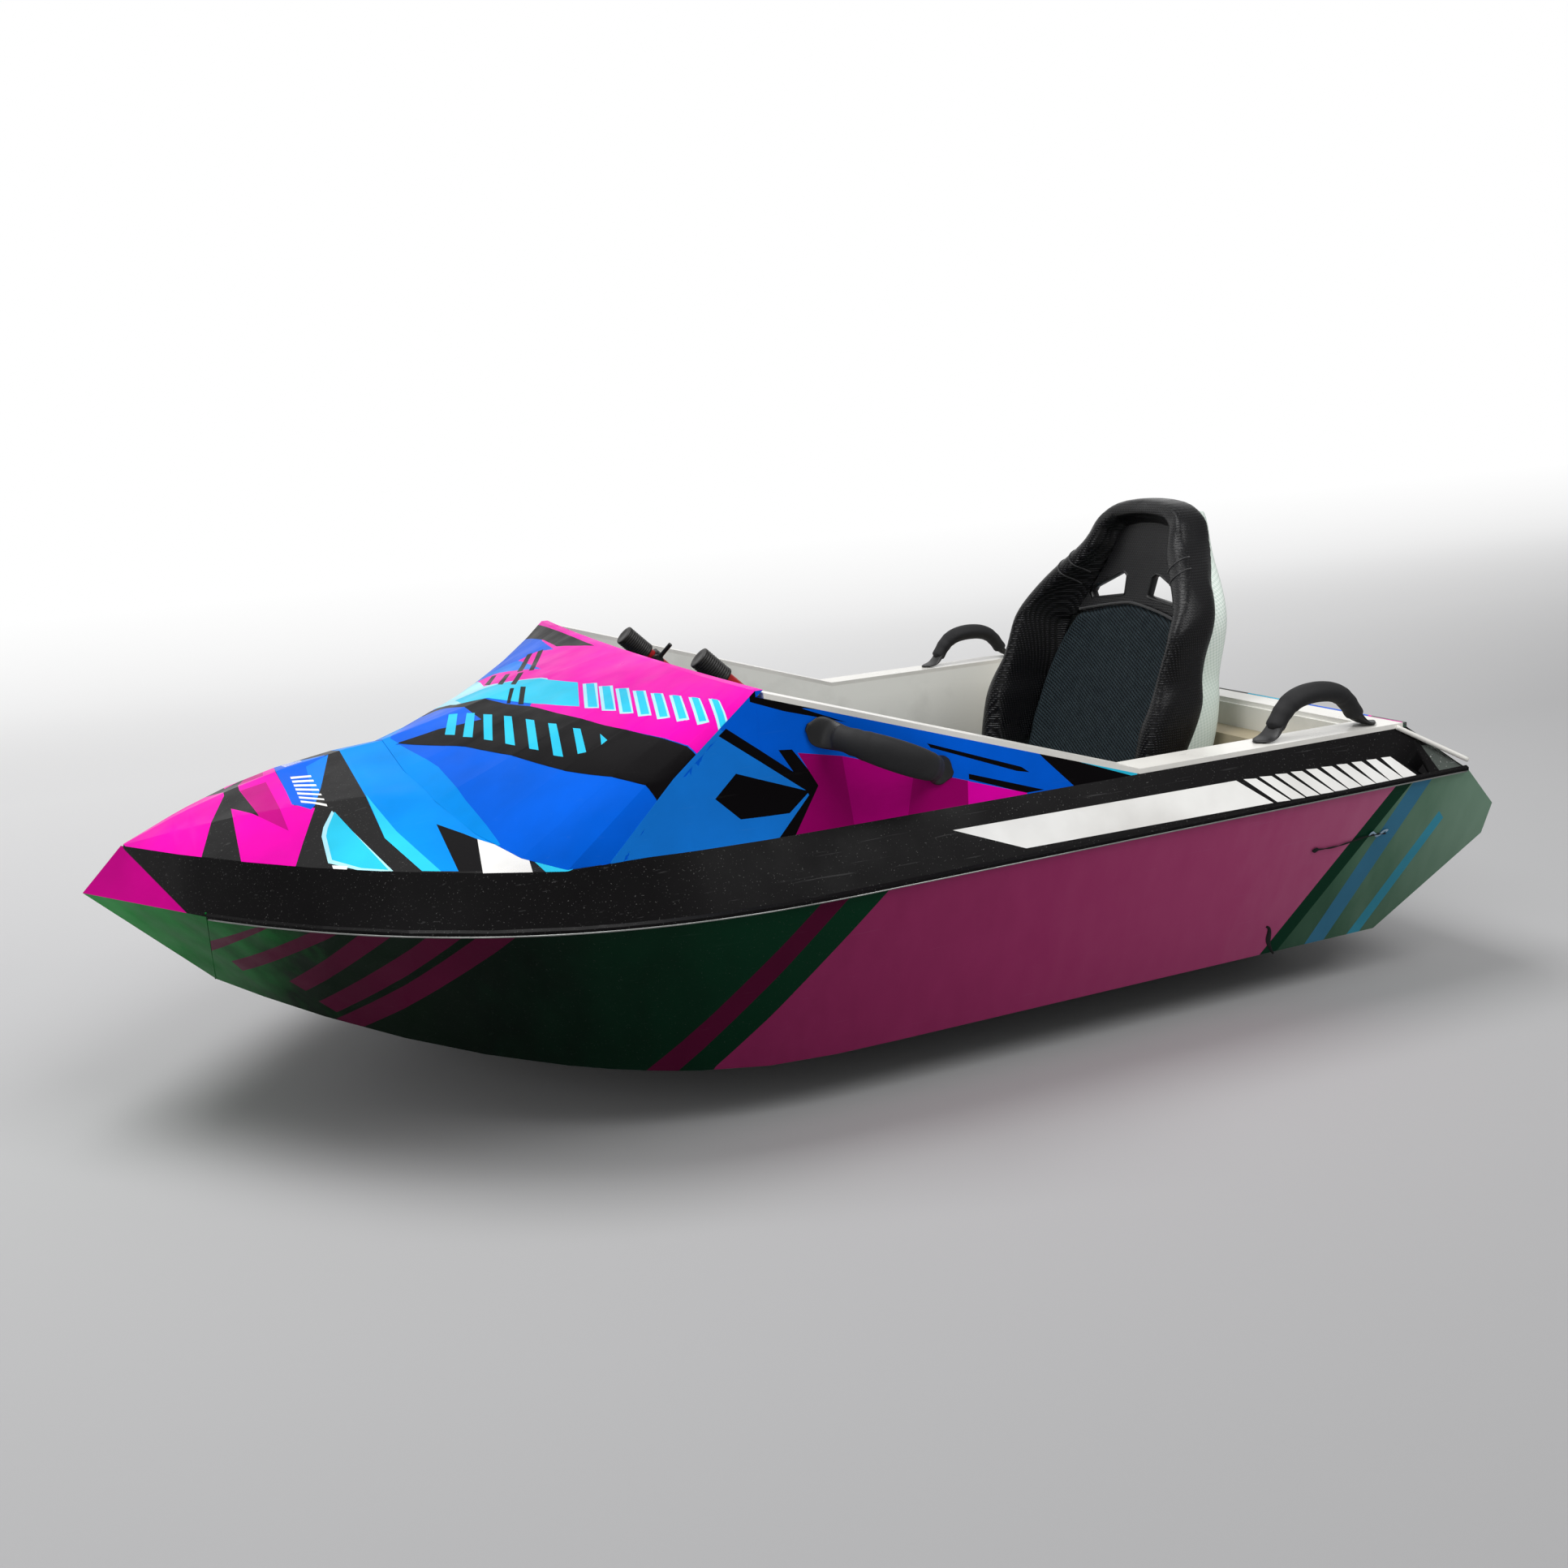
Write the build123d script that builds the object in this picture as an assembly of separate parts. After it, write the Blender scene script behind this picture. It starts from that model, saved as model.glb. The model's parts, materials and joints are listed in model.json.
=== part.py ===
from build123d import *
import os
from math import atan2, cos, pi, radians, sin

# A single-seat jet boat, a stubby personal watercraft with a faceted hull.
# Millimetres. +X points to the bow, +Y to port, +Z up. The origin is the centre of
# the whole part's footprint, on the floor under the flat keel pad.

os.makedirs("parts", exist_ok=True)

# Overall hull. Its length is the bow, the coaming's slope, the flat gunwale and the raked stern
bow_length = 893.0
coaming_run = 612.0
gunwale_run = 523.0
transom_rake = 172.0
length_overall = bow_length + coaming_run + gunwale_run + transom_rake
beam = 1290.0
wall = 8.0
tip_x = length_overall / 2
stern_x = -length_overall / 2
half_beam = beam / 2

# Heights over the keel pad
chine_height = 90.0
rub_height_mid = 368.0
rub_height_tip = 391.0
rub_height_stern = 378.0
sheer_height = 452.0
coaming_rise = 199.0
knuckle_height = 219.0

# Places along the hull, from the bow's tip or from the stern's last point
ridge_setback = 64.0
facet_setback = 143.0
knuckle_setback = 167.0
rub_curve_length = 1000.0
chine_curve_length = 933.0
crease_run = 218.0
cowl_crown = 203.0
rub_end_setback = 88.0
chine_end_setback = 180.0

# Widths
sheer_inset = 48.0
chine_inset = 110.0
keel_pad_width = 260.0
rim_half = 592.0
cap_width = 62.0
cap_thickness = 8.0
rim_bow = 18.0

# How full the three plan curves are towards the bow
rub_power = 2.5
sheer_power = 2.8
chine_power = 2.45

# Foredeck ridge, an arc in side view, and the crown of the deck between ridge and edge
ridge_radius = 1144.0
ridge_top_height = 566.0
ridge_top_setback = 569.0
deck_crown = 14.0

# Cowl
cowl_wall = 12.0
cowl_bulge = 12.0
cowl_steps = 12

# Cockpit
liner_wall = 6.0
floor_height = 140.0
floor_thickness = 8.0
floor_half = 500.0
floor_front_half = 420.0
bulkhead_setback = 650.0
transom_cap_width = 55.0
stern_point_top = 300.0
stern_point_low = 243.0

# Seat pedestal over the engine, the engine block and its beds
pedestal_front_run = 850.0
pedestal_front_x = stern_x + pedestal_front_run
pedestal_length = 450.0
pedestal_half = 230.0
pedestal_top = 215.0
pedestal_wall = 6.0
engine_length = 310.0
engine_half = 190.0
engine_top = 200.0
engine_low = 30.0
engine_gap = 10.0
bed_half = 100.0
bed_width = 40.0
seat_gap = 0.3

# Aft cover behind the seat, from its ledge down to the floor
aft_cover_height = 410.0
aft_cover_clearance = 8.0
aft_cover_foot_gap = 65.0

# Seat. The back leans aft from its foot; two harness slots lie under the head pad
seat_base_run = 384.0
seat_base_x = stern_x + seat_base_run
seat_lean = 0.276
seat_floor = 230.0
seat_shell_wall = 6.0
seat_shell_corner = 46.0
pan_side_height = 66.0
pan_side_front_height = 60.0
bolster_width = 72.0
cushion_length = 400.0
cushion_height = 60.0
rail_height = 14.7
rail_width = 30.0
rail_half = 150.0
bolster_low = 300.0
bolster_high = 686.0
back_pad_high = 612.0
head_low = 701.0
hole_top = 681.0
hole_low = 623.0
hole_inner = 48.0
hole_outer = 144.0

# Seat back sections, bottom to top
SEAT_ROWS = [
    # height, half-width, bolster depth, back depth
    (232.0, 250.0, 130.0, 34.0),
    (330.0, 268.0, 150.0, 36.0),
    (400.0, 276.0, 154.0, 38.0),
    (475.0, 270.0, 142.0, 40.0),
    (512.0, 264.0, 124.0, 40.0),
    (600.0, 268.0, 130.0, 42.0),
    (644.0, 250.0, 112.0, 43.0),
    (686.0, 212.0, 94.0, 44.0),
    (741.0, 152.0, 64.0, 44.0),
    (795.0, 118.0, 44.0, 40.0),
    (822.0, 84.0, 26.0, 30.0),
]

# Steering: a raked column that carries a yoke with two upright grips
column_rake = 45.0
yoke_hub_x = tip_x - bow_length - 149.0
yoke_hub_height = 567.0
yoke_half = 204.0
yoke_tube_radius = 14.0
yoke_bend = 42.0
yoke_reach = 126.0
yoke_drop = 22.0
grip_radius = 19.0
grip_length = 56.0
hub_radius = 32.0
hub_length = 30.0
column_radius = 12.5
column_length = 262.0
column_clearance = 0.05
bearing_depth = 60.0
console_half = 52.0
console_aft_run = 34.0
console_front_run = 130.0

# Handles: a padded loop between two flat pointed feet
handle_length = 242.0
handle_foot = 46.0
handle_foot_width = 36.0
handle_foot_thickness = 6.0
handle_rise = 58.0
handle_radius = 12.5
aft_handle_x = stern_x + 334.0
fore_handle_run = 180.0
fore_handle_drop = 42.0
fore_handle_tilt = 6.3

# Jet drive, under the stern's undercut
pump_height = 100.0
pump_radius = 74.0
pump_wall = 8.0
pump_length = 80.0
pump_overlap = 60.0
cone_length = 35.0
outlet_radius = 34.5
outlet_length = 31.0
impeller_clearance = 5.0
impeller_hub_radius = 22.0
impeller_length = 44.0
blade_count = 4
blade_thickness = 4.0
blade_pitch = 52.0
shaft_radius = 10.0
vane_count = 6
nozzle_pivot_run = 80.0
nozzle_front_radius = 52.0
nozzle_exit_radius = 36.0
nozzle_wall = 6.0
nozzle_length = 66.0
nozzle_front_run = 8.0
nozzle_pin_radius = 6.0
strap_width = 26.0
strap_thickness = 8.0
strap_gap = 12.5
bucket_radius = 54.0
bucket_wall = 5.0
bucket_half = 60.0
bucket_pivot_run = 35.0
bucket_pin_radius = 6.0
bucket_start = 76.0
bucket_sweep = 67.0
tunnel_half = 112.0
tunnel_height = 215.0
plate_thickness = 8.0
ride_plate_half = 90.0
ride_plate_length = 150.0
ride_plate_height = 6.0
intake_front_run = 300.0
intake_back_run = 60.0
intake_half = 60.0
duct_wall = 6.0
duct_knee_run = 20.0
pump_room = 90.0
grate_bars = 5
grate_bar_width = 6.0

# Fittings
rub_rail_depth = 3.0
stern_eye_half = 420.0
stern_eye_height = 175.0
stern_eye_radius = 8.0
stern_eye_width = 34.0
stern_eye_thickness = 10.0
stern_eye_reach = 20.0
stern_eye_plate = 4.0

# Sheer height, by distance aft of the bow's tip
SHEER_ROWS = [
    # setback, height
    (64.0, 455.0),
    (200.0, 458.0),
    (380.0, 455.0),
    (500.0, 450.0),
    (620.0, 444.0),
    (675.0, 449.0),
    (720.0, 452.0),
]

# Derived places
ridge_x = tip_x - ridge_setback
facet_x = tip_x - facet_setback
knuckle_x = tip_x - knuckle_setback
rub_mid_x = tip_x - rub_curve_length
chine_mid_x = knuckle_x - chine_curve_length
rim_x = tip_x - bow_length
crease_x = rim_x + crease_run
coaming_end_x = rim_x - coaming_run
transom_x = stern_x + transom_rake
rub_end_x = stern_x + rub_end_setback
chine_end_x = stern_x + chine_end_setback
bulkhead_x = tip_x - bulkhead_setback
aft_wall_x = transom_x + transom_cap_width
rim_height = sheer_height + coaming_rise
sheer_half_mid = half_beam - sheer_inset
chine_half_mid = half_beam - chine_inset
cap_inner_half = sheer_half_mid - cap_width


def share(value, low, high):
    """Where value lies between low and high, held to the range 0 to 1."""
    return min(max((value - low) / (high - low), 0.0), 1.0)


def blend(first, second, part):
    return first + (second - first) * part


def rub_half(x):
    """Half-width at the rub line, the widest line of the hull."""
    if x > knuckle_x:
        return rub_half(knuckle_x) * (tip_x - x) / (tip_x - knuckle_x)
    return half_beam * (1 - share(x, rub_mid_x, tip_x) ** rub_power)


def rub_height(x):
    if x > knuckle_x:
        return blend(rub_height(knuckle_x), rub_height_tip, share(x, knuckle_x, tip_x))
    forward = (rub_height_tip - rub_height_mid) * share(x, rub_mid_x, tip_x) ** 2
    aft = (rub_height_stern - rub_height_mid) * share(-x, -rub_mid_x, -rub_end_x)
    return rub_height_mid + forward + aft


def sheer_half(x):
    """Half-width at the sheer, where the side band meets the deck."""
    return sheer_half_mid * (1 - share(x, rub_mid_x, ridge_x) ** sheer_power)


def sheer_line(x):
    """Height of the sheer, read between the rows of the table."""
    setback = tip_x - x
    if setback >= SHEER_ROWS[-1][0]:
        return sheer_height
    rows = zip(SHEER_ROWS, SHEER_ROWS[1:])
    low, high = next(pair for pair in rows if setback <= pair[1][0])
    level = blend(low[1], high[1], share(setback, low[0], high[0]))
    return level + sheer_height - SHEER_ROWS[-1][1]


def chine_half(x):
    return chine_half_mid * (1 - share(x, chine_mid_x, knuckle_x) ** chine_power)


def chine_line(x):
    rise = knuckle_height - chine_height
    return chine_height + rise * share(x, chine_mid_x + 150.0, knuckle_x) ** 1.6


def keel_line(x):
    return knuckle_height * share(x, chine_mid_x + 300.0, knuckle_x) ** 1.3


def pad_half(x):
    return min(keel_pad_width / 2, 0.4 * chine_half(x))


def ridge_line(x):
    """Height of the foredeck's centre ridge: a flat arc falling to the bow."""
    run = x - (tip_x - ridge_top_setback)
    return ridge_top_height - run * run / (2 * ridge_radius)


def deck_height(x, y):
    """Height of the foredeck's surface, crowned half way between ridge and edge."""
    edge = max(sheer_half(x), 1.0)
    part = min(abs(y) / edge, 1.0)
    ridge = ridge_line(x)
    sheer = sheer_line(x)
    middle = (ridge + sheer) / 2 + deck_crown * share(edge, 0.0, 300.0)
    if part < 0.5:
        return blend(ridge, middle, part * 2)
    return blend(middle, sheer, part * 2 - 1)


def cap_under(x):
    """Height of the cap's underside: the coaming slopes from the rim to the gunwale."""
    return sheer_height + coaming_rise * share(x, coaming_end_x, rim_x)


def coaming_half(x):
    return blend(sheer_half_mid, rim_half, share(x, coaming_end_x, rim_x))


def sheer_drop(x):
    """Depth of the mitre under the sheer, less where the band runs out at the bow."""
    low = rub_height(x)
    if x > facet_x:
        low = blend(rub_height(facet_x), sheer_line(ridge_x), share(x, facet_x, ridge_x))
    return min(wall, (sheer_line(x) - low) / 2)


def inset(half):
    """Inner edge of a wall, which never crosses the centre line."""
    return max(half - wall, 0.4 * half)


def polygon_wire(points):
    return Wire.make_polygon([Vector(*point) for point in points], close=True)


def station_loft(stations, outline):
    """Ruled solid through a closed outline of (y, z) points at each station x."""
    wires = []
    for x in stations:
        wires.append(polygon_wire([(x, y, z) for y, z in outline(x)]))
    return Solid.make_loft(wires, ruled=True)


def side_prism(points, low_y, high_y):
    """Solid of a side-view outline of (x, z) points between two values of y."""
    wire = polygon_wire([(x, low_y, z) for x, z in points])
    return Solid.extrude(Face(wire), Vector(0, high_y - low_y, 0))


def plan_prism(points, low_z, high_z):
    wire = polygon_wire([(x, y, low_z) for x, y in points])
    return Solid.extrude(Face(wire), Vector(0, 0, high_z - low_z))


def starboard(solid):
    return mirror(solid, about=Plane.XZ)


def save(name, *solids):
    """Write one node's solids, joined only where they touch."""
    body = solids[0] if len(solids) == 1 else Compound(children=list(solids))
    export_step(body, f"parts/{name}.step")


# Common stations, so that neighbouring panels share their edges
bow_shares = (0.995, 0.93, 0.845, 0.735, 0.626, 0.515, 0.4)
bow_stations = [chine_mid_x + chine_curve_length * part for part in bow_shares]
cowl_middle_x = (crease_x + rim_x) / 2 + cowl_bulge
mid_stations = [rub_mid_x + 200.0, rim_x, rub_mid_x + 100.0, rub_mid_x, chine_mid_x]
hull_stations = bow_stations[1:6] + [crease_x, bow_stations[6], cowl_middle_x] + mid_stations


def side_outline(x):
    """Section of the lower side between the rub line and the chine."""
    return [
        (rub_half(x), rub_height(x)),
        (chine_half(x), chine_line(x)),
        (inset(chine_half(x)), chine_line(x) + wall),
        (inset(rub_half(x)), rub_height(x)),
    ]


def stern_side_outline(x):
    """The side aft of the chine's end, cut back by the raked transom."""
    top = min(rub_height(x), stern_upper_line(x))
    low = max(chine_height, stern_lower_line(x))
    return [
        (side_half(top), top),
        (side_half(low), low),
        (side_half(low) - wall, low),
        (side_half(top) - wall, top),
    ]


def side_half(z):
    """Half-width of the lower side at height z, aft of the bow."""
    part = (z - chine_height) / (rub_height_stern - chine_height)
    return blend(chine_half_mid, half_beam, part)


def stern_upper_line(x):
    """Upper edge of the stern's profile, from the rub line's end down to the point."""
    return blend(rub_height_stern, stern_point_top, share(-x, -rub_end_x, -stern_x))


def stern_lower_line(x):
    """Undercut edge of the stern's profile, from the chine up to the point."""
    return blend(chine_height, stern_point_low, share(-x, -chine_end_x, -stern_x))


def bottom_outline(x):
    chine = (chine_half(x), chine_line(x))
    pad = (pad_half(x), keel_line(x))
    inner_chine = (inset(chine_half(x)), chine_line(x) + wall)
    inner_pad = (pad_half(x), keel_line(x) + wall)
    port = [chine, pad]
    inner = [inner_pad, inner_chine]
    mirrored = [(-y, z) for y, z in reversed(port)]
    mirrored_inner = [(-y, z) for y, z in reversed(inner)]
    return port + mirrored + mirrored_inner + inner


def band_outline(x):
    """Section of the side band between the sheer and the rub line."""
    low_half = rub_half(x)
    low_height = rub_height(x)
    if x > facet_x:
        part = share(x, facet_x, ridge_x)
        low_half = blend(rub_half(facet_x), 0.0, part)
        low_height = blend(rub_height(facet_x), sheer_line(ridge_x), part)
    return [
        (sheer_half(x), sheer_line(x)),
        (low_half, low_height),
        (inset(low_half), low_height),
        (inset(sheer_half(x)), sheer_line(x) - sheer_drop(x)),
    ]


def make_hull_sides():
    forward = station_loft([knuckle_x - 1] + hull_stations + [chine_end_x], side_outline)
    aft_stations = [chine_end_x, rub_end_x, stern_x]
    aft = station_loft(aft_stations, stern_side_outline)
    return (forward + aft).solids()[0]


def make_nose():
    """Solid lower nose: a pyramid from the knuckle's section to the tip."""
    base = [(knuckle_x, 0.0, knuckle_height),
            (knuckle_x, rub_half(knuckle_x), rub_height(knuckle_x)),
            (knuckle_x, -rub_half(knuckle_x), rub_height(knuckle_x))]
    return point_loft(base, (tip_x, 0.0, rub_height_tip))


def point_loft(base, apex):
    return loft([Face(polygon_wire(base)), Vertex(*apex)], ruled=True)


def make_bow_cap():
    """Bow cap with the two slanting facets that meet on the centre line."""
    base = [(ridge_x, 0.0, sheer_line(ridge_x)),
            (facet_x, rub_half(facet_x), rub_height(facet_x)),
            (facet_x, -rub_half(facet_x), rub_height(facet_x))]
    return point_loft(base, (tip_x, 0.0, rub_height_tip))


def make_band():
    stations = [ridge_x - 4, facet_x, knuckle_x - 1] + hull_stations + [transom_x]
    forward = station_loft(stations, band_outline)
    aft = station_loft([transom_x, rub_end_x + 1], stern_band_outline)
    return (forward + aft).solids()[0]


def stern_band_outline(x):
    """The band's last triangle, cut by the transom's slope."""
    part = share(-x, -transom_x, -rub_end_x)
    top = blend(sheer_height, rub_height_stern, part)
    top_half = blend(sheer_half_mid, half_beam, part)
    drop = wall * (1 - part)
    return [
        (top_half, top),
        (rub_half(x), rub_height(x) - 0.5 * part),
        (rub_half(x) - wall, rub_height(x) - 0.5 * part),
        (top_half - wall, top - drop),
    ]


def deck_outline(x):
    edge = sheer_half(x)
    port = [(0.0, deck_height(x, 0)), (edge / 2, deck_height(x, edge / 2)), (edge, sheer_line(x))]
    inner = [(inset(edge), sheer_line(x) - sheer_drop(x)), (edge / 2, deck_height(x, edge / 2) - wall),
             (0.0, deck_height(x, 0) - wall)]
    left = [(-y, z) for y, z in reversed(port[1:])]
    left_inner = [(-y, z) for y, z in reversed(inner[:-1])]
    return port + inner + left_inner + left


def cowl_base(angle):
    """Point on the cowl's foot: half an ellipse in plan, lying on the foredeck."""
    x = crease_x + cowl_crown * cos(angle)
    y = sheer_half(crease_x) * sin(angle)
    return x, y, deck_height(x, y)


def cowl_rim(angle):
    side = sin(angle)
    return rim_x + rim_bow * (1 - side * side), rim_half * side, rim_height + cap_thickness


def cowl_section(angle):
    """One rib of the cowl in a plane that holds the X axis's direction."""
    base_x, base_y, base_z = cowl_base(angle)
    top_x, top_y, top_z = cowl_rim(angle)
    low_y = base_y - wall * (top_y - base_y) / (top_z - base_z)
    middle = ((base_x + top_x) / 2 + cowl_bulge, (base_y + top_y) / 2, (base_z + top_z) / 2)
    return polygon_wire([
        (top_x, top_y, top_z),
        middle,
        (base_x, base_y, base_z),
        (base_x, low_y, base_z - wall),
        (base_x - cowl_wall, low_y, base_z - wall),
        (middle[0] - cowl_wall, middle[1], middle[2]),
        (top_x - cowl_wall, top_y, top_z),
    ])


def cowl_angles():
    return [-pi / 2 + pi * step / cowl_steps for step in range(cowl_steps + 1)]


def make_cowl(band):
    shell = Solid.make_loft([cowl_section(angle) for angle in cowl_angles()], ruled=True)
    pieces = (shell - band - starboard(band)).solids()
    return max(pieces, key=lambda piece: piece.volume)


def make_foredeck(bow_cap):
    stations = [ridge_x - 4, facet_x, knuckle_x - 1] + bow_stations[1:6] + [crease_x]
    deck = station_loft(stations, deck_outline)
    foot = [cowl_base(angle)[:2] for angle in cowl_angles()]
    foot += [(crease_x - 60.0, half_beam), (crease_x - 60.0, -half_beam)]
    deck = deck - plan_prism(foot, 0.0, 2 * rim_height)
    return (deck - bow_cap).solids()[0]


def coaming_top(x):
    """Top of the coaming panel: the cap's underside, then the cowl's crease forward."""
    if x <= rim_x:
        return coaming_half(x), cap_under(x)
    top = (rim_half, rim_height + cap_thickness)
    foot = (sheer_half(crease_x), sheer_line(crease_x))
    middle = ((top[0] + foot[0]) / 2, (top[1] + foot[1]) / 2)
    if x <= cowl_middle_x:
        part = share(x, rim_x, cowl_middle_x)
        return blend(top[0], middle[0], part), blend(top[1], middle[1], part)
    part = share(x, cowl_middle_x, crease_x)
    return blend(middle[0], foot[0], part), blend(middle[1], foot[1], part)


def coaming_outline(x):
    top_half, top = coaming_top(x)
    return [
        (sheer_half(x), sheer_line(x)),
        (top_half, top),
        (top_half - wall, top),
        (sheer_half(x) - wall, sheer_line(x) - wall),
    ]


def make_coaming(cowl, band):
    """Coaming beside the cockpit, and its forward triangle below the cowl's crease."""
    forward = [crease_x - 2, bow_stations[6], cowl_middle_x, mid_stations[0], rim_x + 0.01]
    front = station_loft(forward, coaming_outline)
    back = station_loft([rim_x + 0.01] + mid_stations[1:] + [coaming_end_x + 5.2], coaming_outline)
    return (front - cowl - band).solids()[0], (back - cowl - band).solids()[0]


def cap_outline(x):
    under = cap_under(x)
    outer = coaming_half(x)
    return [
        (outer, under),
        (outer, under + cap_thickness),
        (outer - cap_width, under + cap_thickness),
        (outer - cap_width, under),
    ]


def cap_edge_outline(x):
    """Fillet strip below the cap's outer edge, on the side band's mitre."""
    outer = coaming_half(x)
    under = cap_under(x)
    return [(outer, under + 1.0), (outer - wall, under + 1.0), (outer - wall, under - wall), (outer, under)]


def make_gunwale_cap():
    stations = [rim_x - cowl_wall, coaming_end_x, transom_x + wall]
    edge = station_loft([coaming_end_x, transom_x + wall], cap_edge_outline)
    return (station_loft(stations, cap_outline) + edge).solids()[0]


def hull_inside(margin):
    """Space between the hull's sides, for trimming cross panels."""
    outline = [
        (sheer_half_mid, sheer_height + 40.0),
        (sheer_half_mid, sheer_height),
        (sheer_half_mid - margin, sheer_height - margin),
        (half_beam - margin, rub_height_stern),
        (chine_half_mid - margin, chine_height),
    ]
    full = outline + [(-y, z) for y, z in reversed(outline)]
    return station_loft([stern_x - 50.0, transom_x + 200.0], lambda x: full)


def make_transom_upper(band):
    profile = [
        (transom_x, sheer_height + cap_thickness),
        (transom_x, sheer_height),
        (rub_end_x, rub_height_stern),
        (stern_x, stern_point_top),
        (stern_x, stern_point_low),
        (stern_x + wall, stern_point_low + 2.0),
        (stern_x + wall, stern_point_top - 3.0),
        (rub_end_x + wall, rub_height_stern - 5.0),
        (transom_x + wall, sheer_height - 5.0),
        (transom_x + wall, sheer_height),
        (transom_x + wall, sheer_height + cap_thickness),
    ]
    plate = side_prism(profile, -half_beam, half_beam)
    plate = (plate & hull_inside(wall)) - band - starboard(band)
    return plate.solids()[0]


def make_transom_lower(side, bottom):
    """Undercut panel of the stern, open round the jet's tunnel."""
    profile = [
        (stern_x, stern_point_low),
        (chine_end_x, chine_height),
        (chine_end_x + wall, chine_height + wall),
        (stern_x + wall, stern_point_low + 2.0),
    ]
    plate = side_prism(profile, -half_beam, half_beam) & hull_inside(wall)
    window = Pos(chine_end_x, 0, tunnel_height / 2) * Box(2 * transom_rake, 2 * tunnel_half, tunnel_height)
    plate = plate - window - side - starboard(side) - bottom
    return plate.solids()[0]


def undercut_x(z):
    """Where the undercut panel's outer face lies at height z."""
    part = (z - chine_height) / (stern_point_low - chine_height)
    return blend(chine_end_x, stern_x, part)


def make_jet_tunnel():
    """Recess in the undercut for the jet: foot plate, ceiling and two cheeks."""
    face_x = chine_end_x
    inner_x = face_x + plate_thickness
    top = tunnel_height + plate_thickness
    rise = (chine_height - wall) / chine_height
    foot_half = blend(keel_pad_width / 2, chine_half_mid - wall, rise)
    port = [(foot_half, chine_height), (keel_pad_width / 2, wall)]
    outline = port + [(-y, z) for y, z in reversed(port)]
    foot_wire = polygon_wire([(face_x, y, z) for y, z in outline])
    foot = Solid.extrude(Face(foot_wire), Vector(plate_thickness, 0, 0))
    front = side_prism([(face_x, chine_height), (inner_x, chine_height), (inner_x, top), (face_x, top)],
                       -tunnel_half, tunnel_half)
    back_low = undercut_inner_x(tunnel_height) + seat_gap
    back_top = undercut_inner_x(top) + seat_gap
    ceiling = side_prism([(face_x, tunnel_height), (back_low, tunnel_height), (back_top, top), (face_x, top)],
                         -tunnel_half, tunnel_half)
    cheek_points = [(face_x, chine_height), (undercut_x(tunnel_height), tunnel_height),
                    (face_x, tunnel_height)]
    cheek = side_prism(cheek_points, tunnel_half - plate_thickness, tunnel_half)
    hole = along_x(face_x - 10.0, inner_x + 10.0, pump_radius + seat_gap)
    return (foot + front + ceiling + cheek + starboard(cheek) - hole).solids()[0]


def undercut_inner_x(z):
    """Where the undercut panel's inner face lies at height z."""
    part = (z - chine_height - wall) / (stern_point_low + 2.0 - chine_height - wall)
    return blend(chine_end_x + wall, stern_x + wall, part)


def along_x(low_x, high_x, radius, height=pump_height, y=0.0):
    """Cylinder along X between two stations."""
    length = high_x - low_x
    return Pos((low_x + high_x) / 2, y, height) * Rot(0, 90, 0) * Cylinder(radius, length)


def cone_x(low_x, high_x, low_radius, high_radius):
    """Cone along X, its radii given at the aft and the forward end."""
    length = high_x - low_x
    return Pos((low_x + high_x) / 2, 0, pump_height) * Rot(0, 90, 0) * Cone(low_radius, high_radius, length)


def make_transom_cap():
    top = sheer_height + cap_thickness
    points = [(transom_x + wall, sheer_height), (transom_x + wall, top),
              (aft_wall_x, top), (aft_wall_x, sheer_height)]
    return side_prism(points, -cap_inner_half, cap_inner_half)


def liner_top(x):
    """Top of the cockpit's side wall: under the cap, then under the cowl."""
    if x <= rim_x - cowl_wall:
        return cap_under(x)
    return blend(rim_height - 14.0, sheer_height + 3.0, share(x, rim_x - cowl_wall, bulkhead_x))


def floor_side(x):
    """Half-width of the cockpit floor, narrower forward of the cowl's rim."""
    return blend(floor_half, floor_front_half, share(x, rim_x - cowl_wall, bulkhead_x))


def liner_outline(x):
    top = liner_top(x)
    top_half = coaming_half(min(x, rim_x)) - cap_width + liner_wall
    return [
        (top_half, top),
        (floor_side(x) + liner_wall, floor_height),
        (floor_side(x), floor_height),
        (top_half - liner_wall, top),
    ]


def make_liner_side():
    stations = [bulkhead_x, rim_x - cowl_wall, coaming_end_x, aft_wall_x]
    return station_loft(stations, liner_outline)


def cockpit_space():
    """Space between the cockpit's side walls, for trimming its cross walls."""
    outline = [(cap_inner_half, sheer_height), (floor_half, floor_height)]
    full = outline + [(-y, z) for y, z in reversed(outline)]
    return station_loft([stern_x, rim_x], lambda x: full)


def make_floor():
    """Cockpit floor with the engine's opening under the seat pedestal."""
    port = [(bulkhead_x, floor_front_half), (rim_x - cowl_wall, floor_half), (aft_wall_x, floor_half)]
    points = port + [(x, -y) for x, y in reversed(port)]
    floor = plan_prism(points, floor_height, floor_height + floor_thickness)
    inner_length = pedestal_length - 2 * pedestal_wall
    centre_x = pedestal_front_x - pedestal_length / 2
    opening = Pos(centre_x, 0, floor_height) * Box(inner_length, 2 * (pedestal_half - pedestal_wall), 60.0)
    return (floor - opening - pump_space()).solids()[0]


def pump_space():
    """Room for the pump and its duct, behind the aft cover."""
    front = aft_cover_foot_x() - liner_wall - 4.0
    top = pump_height + pump_radius + 8.0
    return Pos((stern_x + front) / 2, 0, top / 2) * Box(front - stern_x, 2 * pump_room, top)


def cowl_height(x, y):
    """Height of the cowl's outer face above a point in plan."""
    angle = pi / 2 * y / rim_half
    for _ in range(20):
        base_x, base_y, base_z = cowl_base(angle)
        top_x, top_y, top_z = cowl_rim(angle)
        part = share(x, top_x, base_x)
        angle += (y - blend(top_y, base_y, part)) / rim_half
    return blend(top_z, base_z, part)


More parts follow.
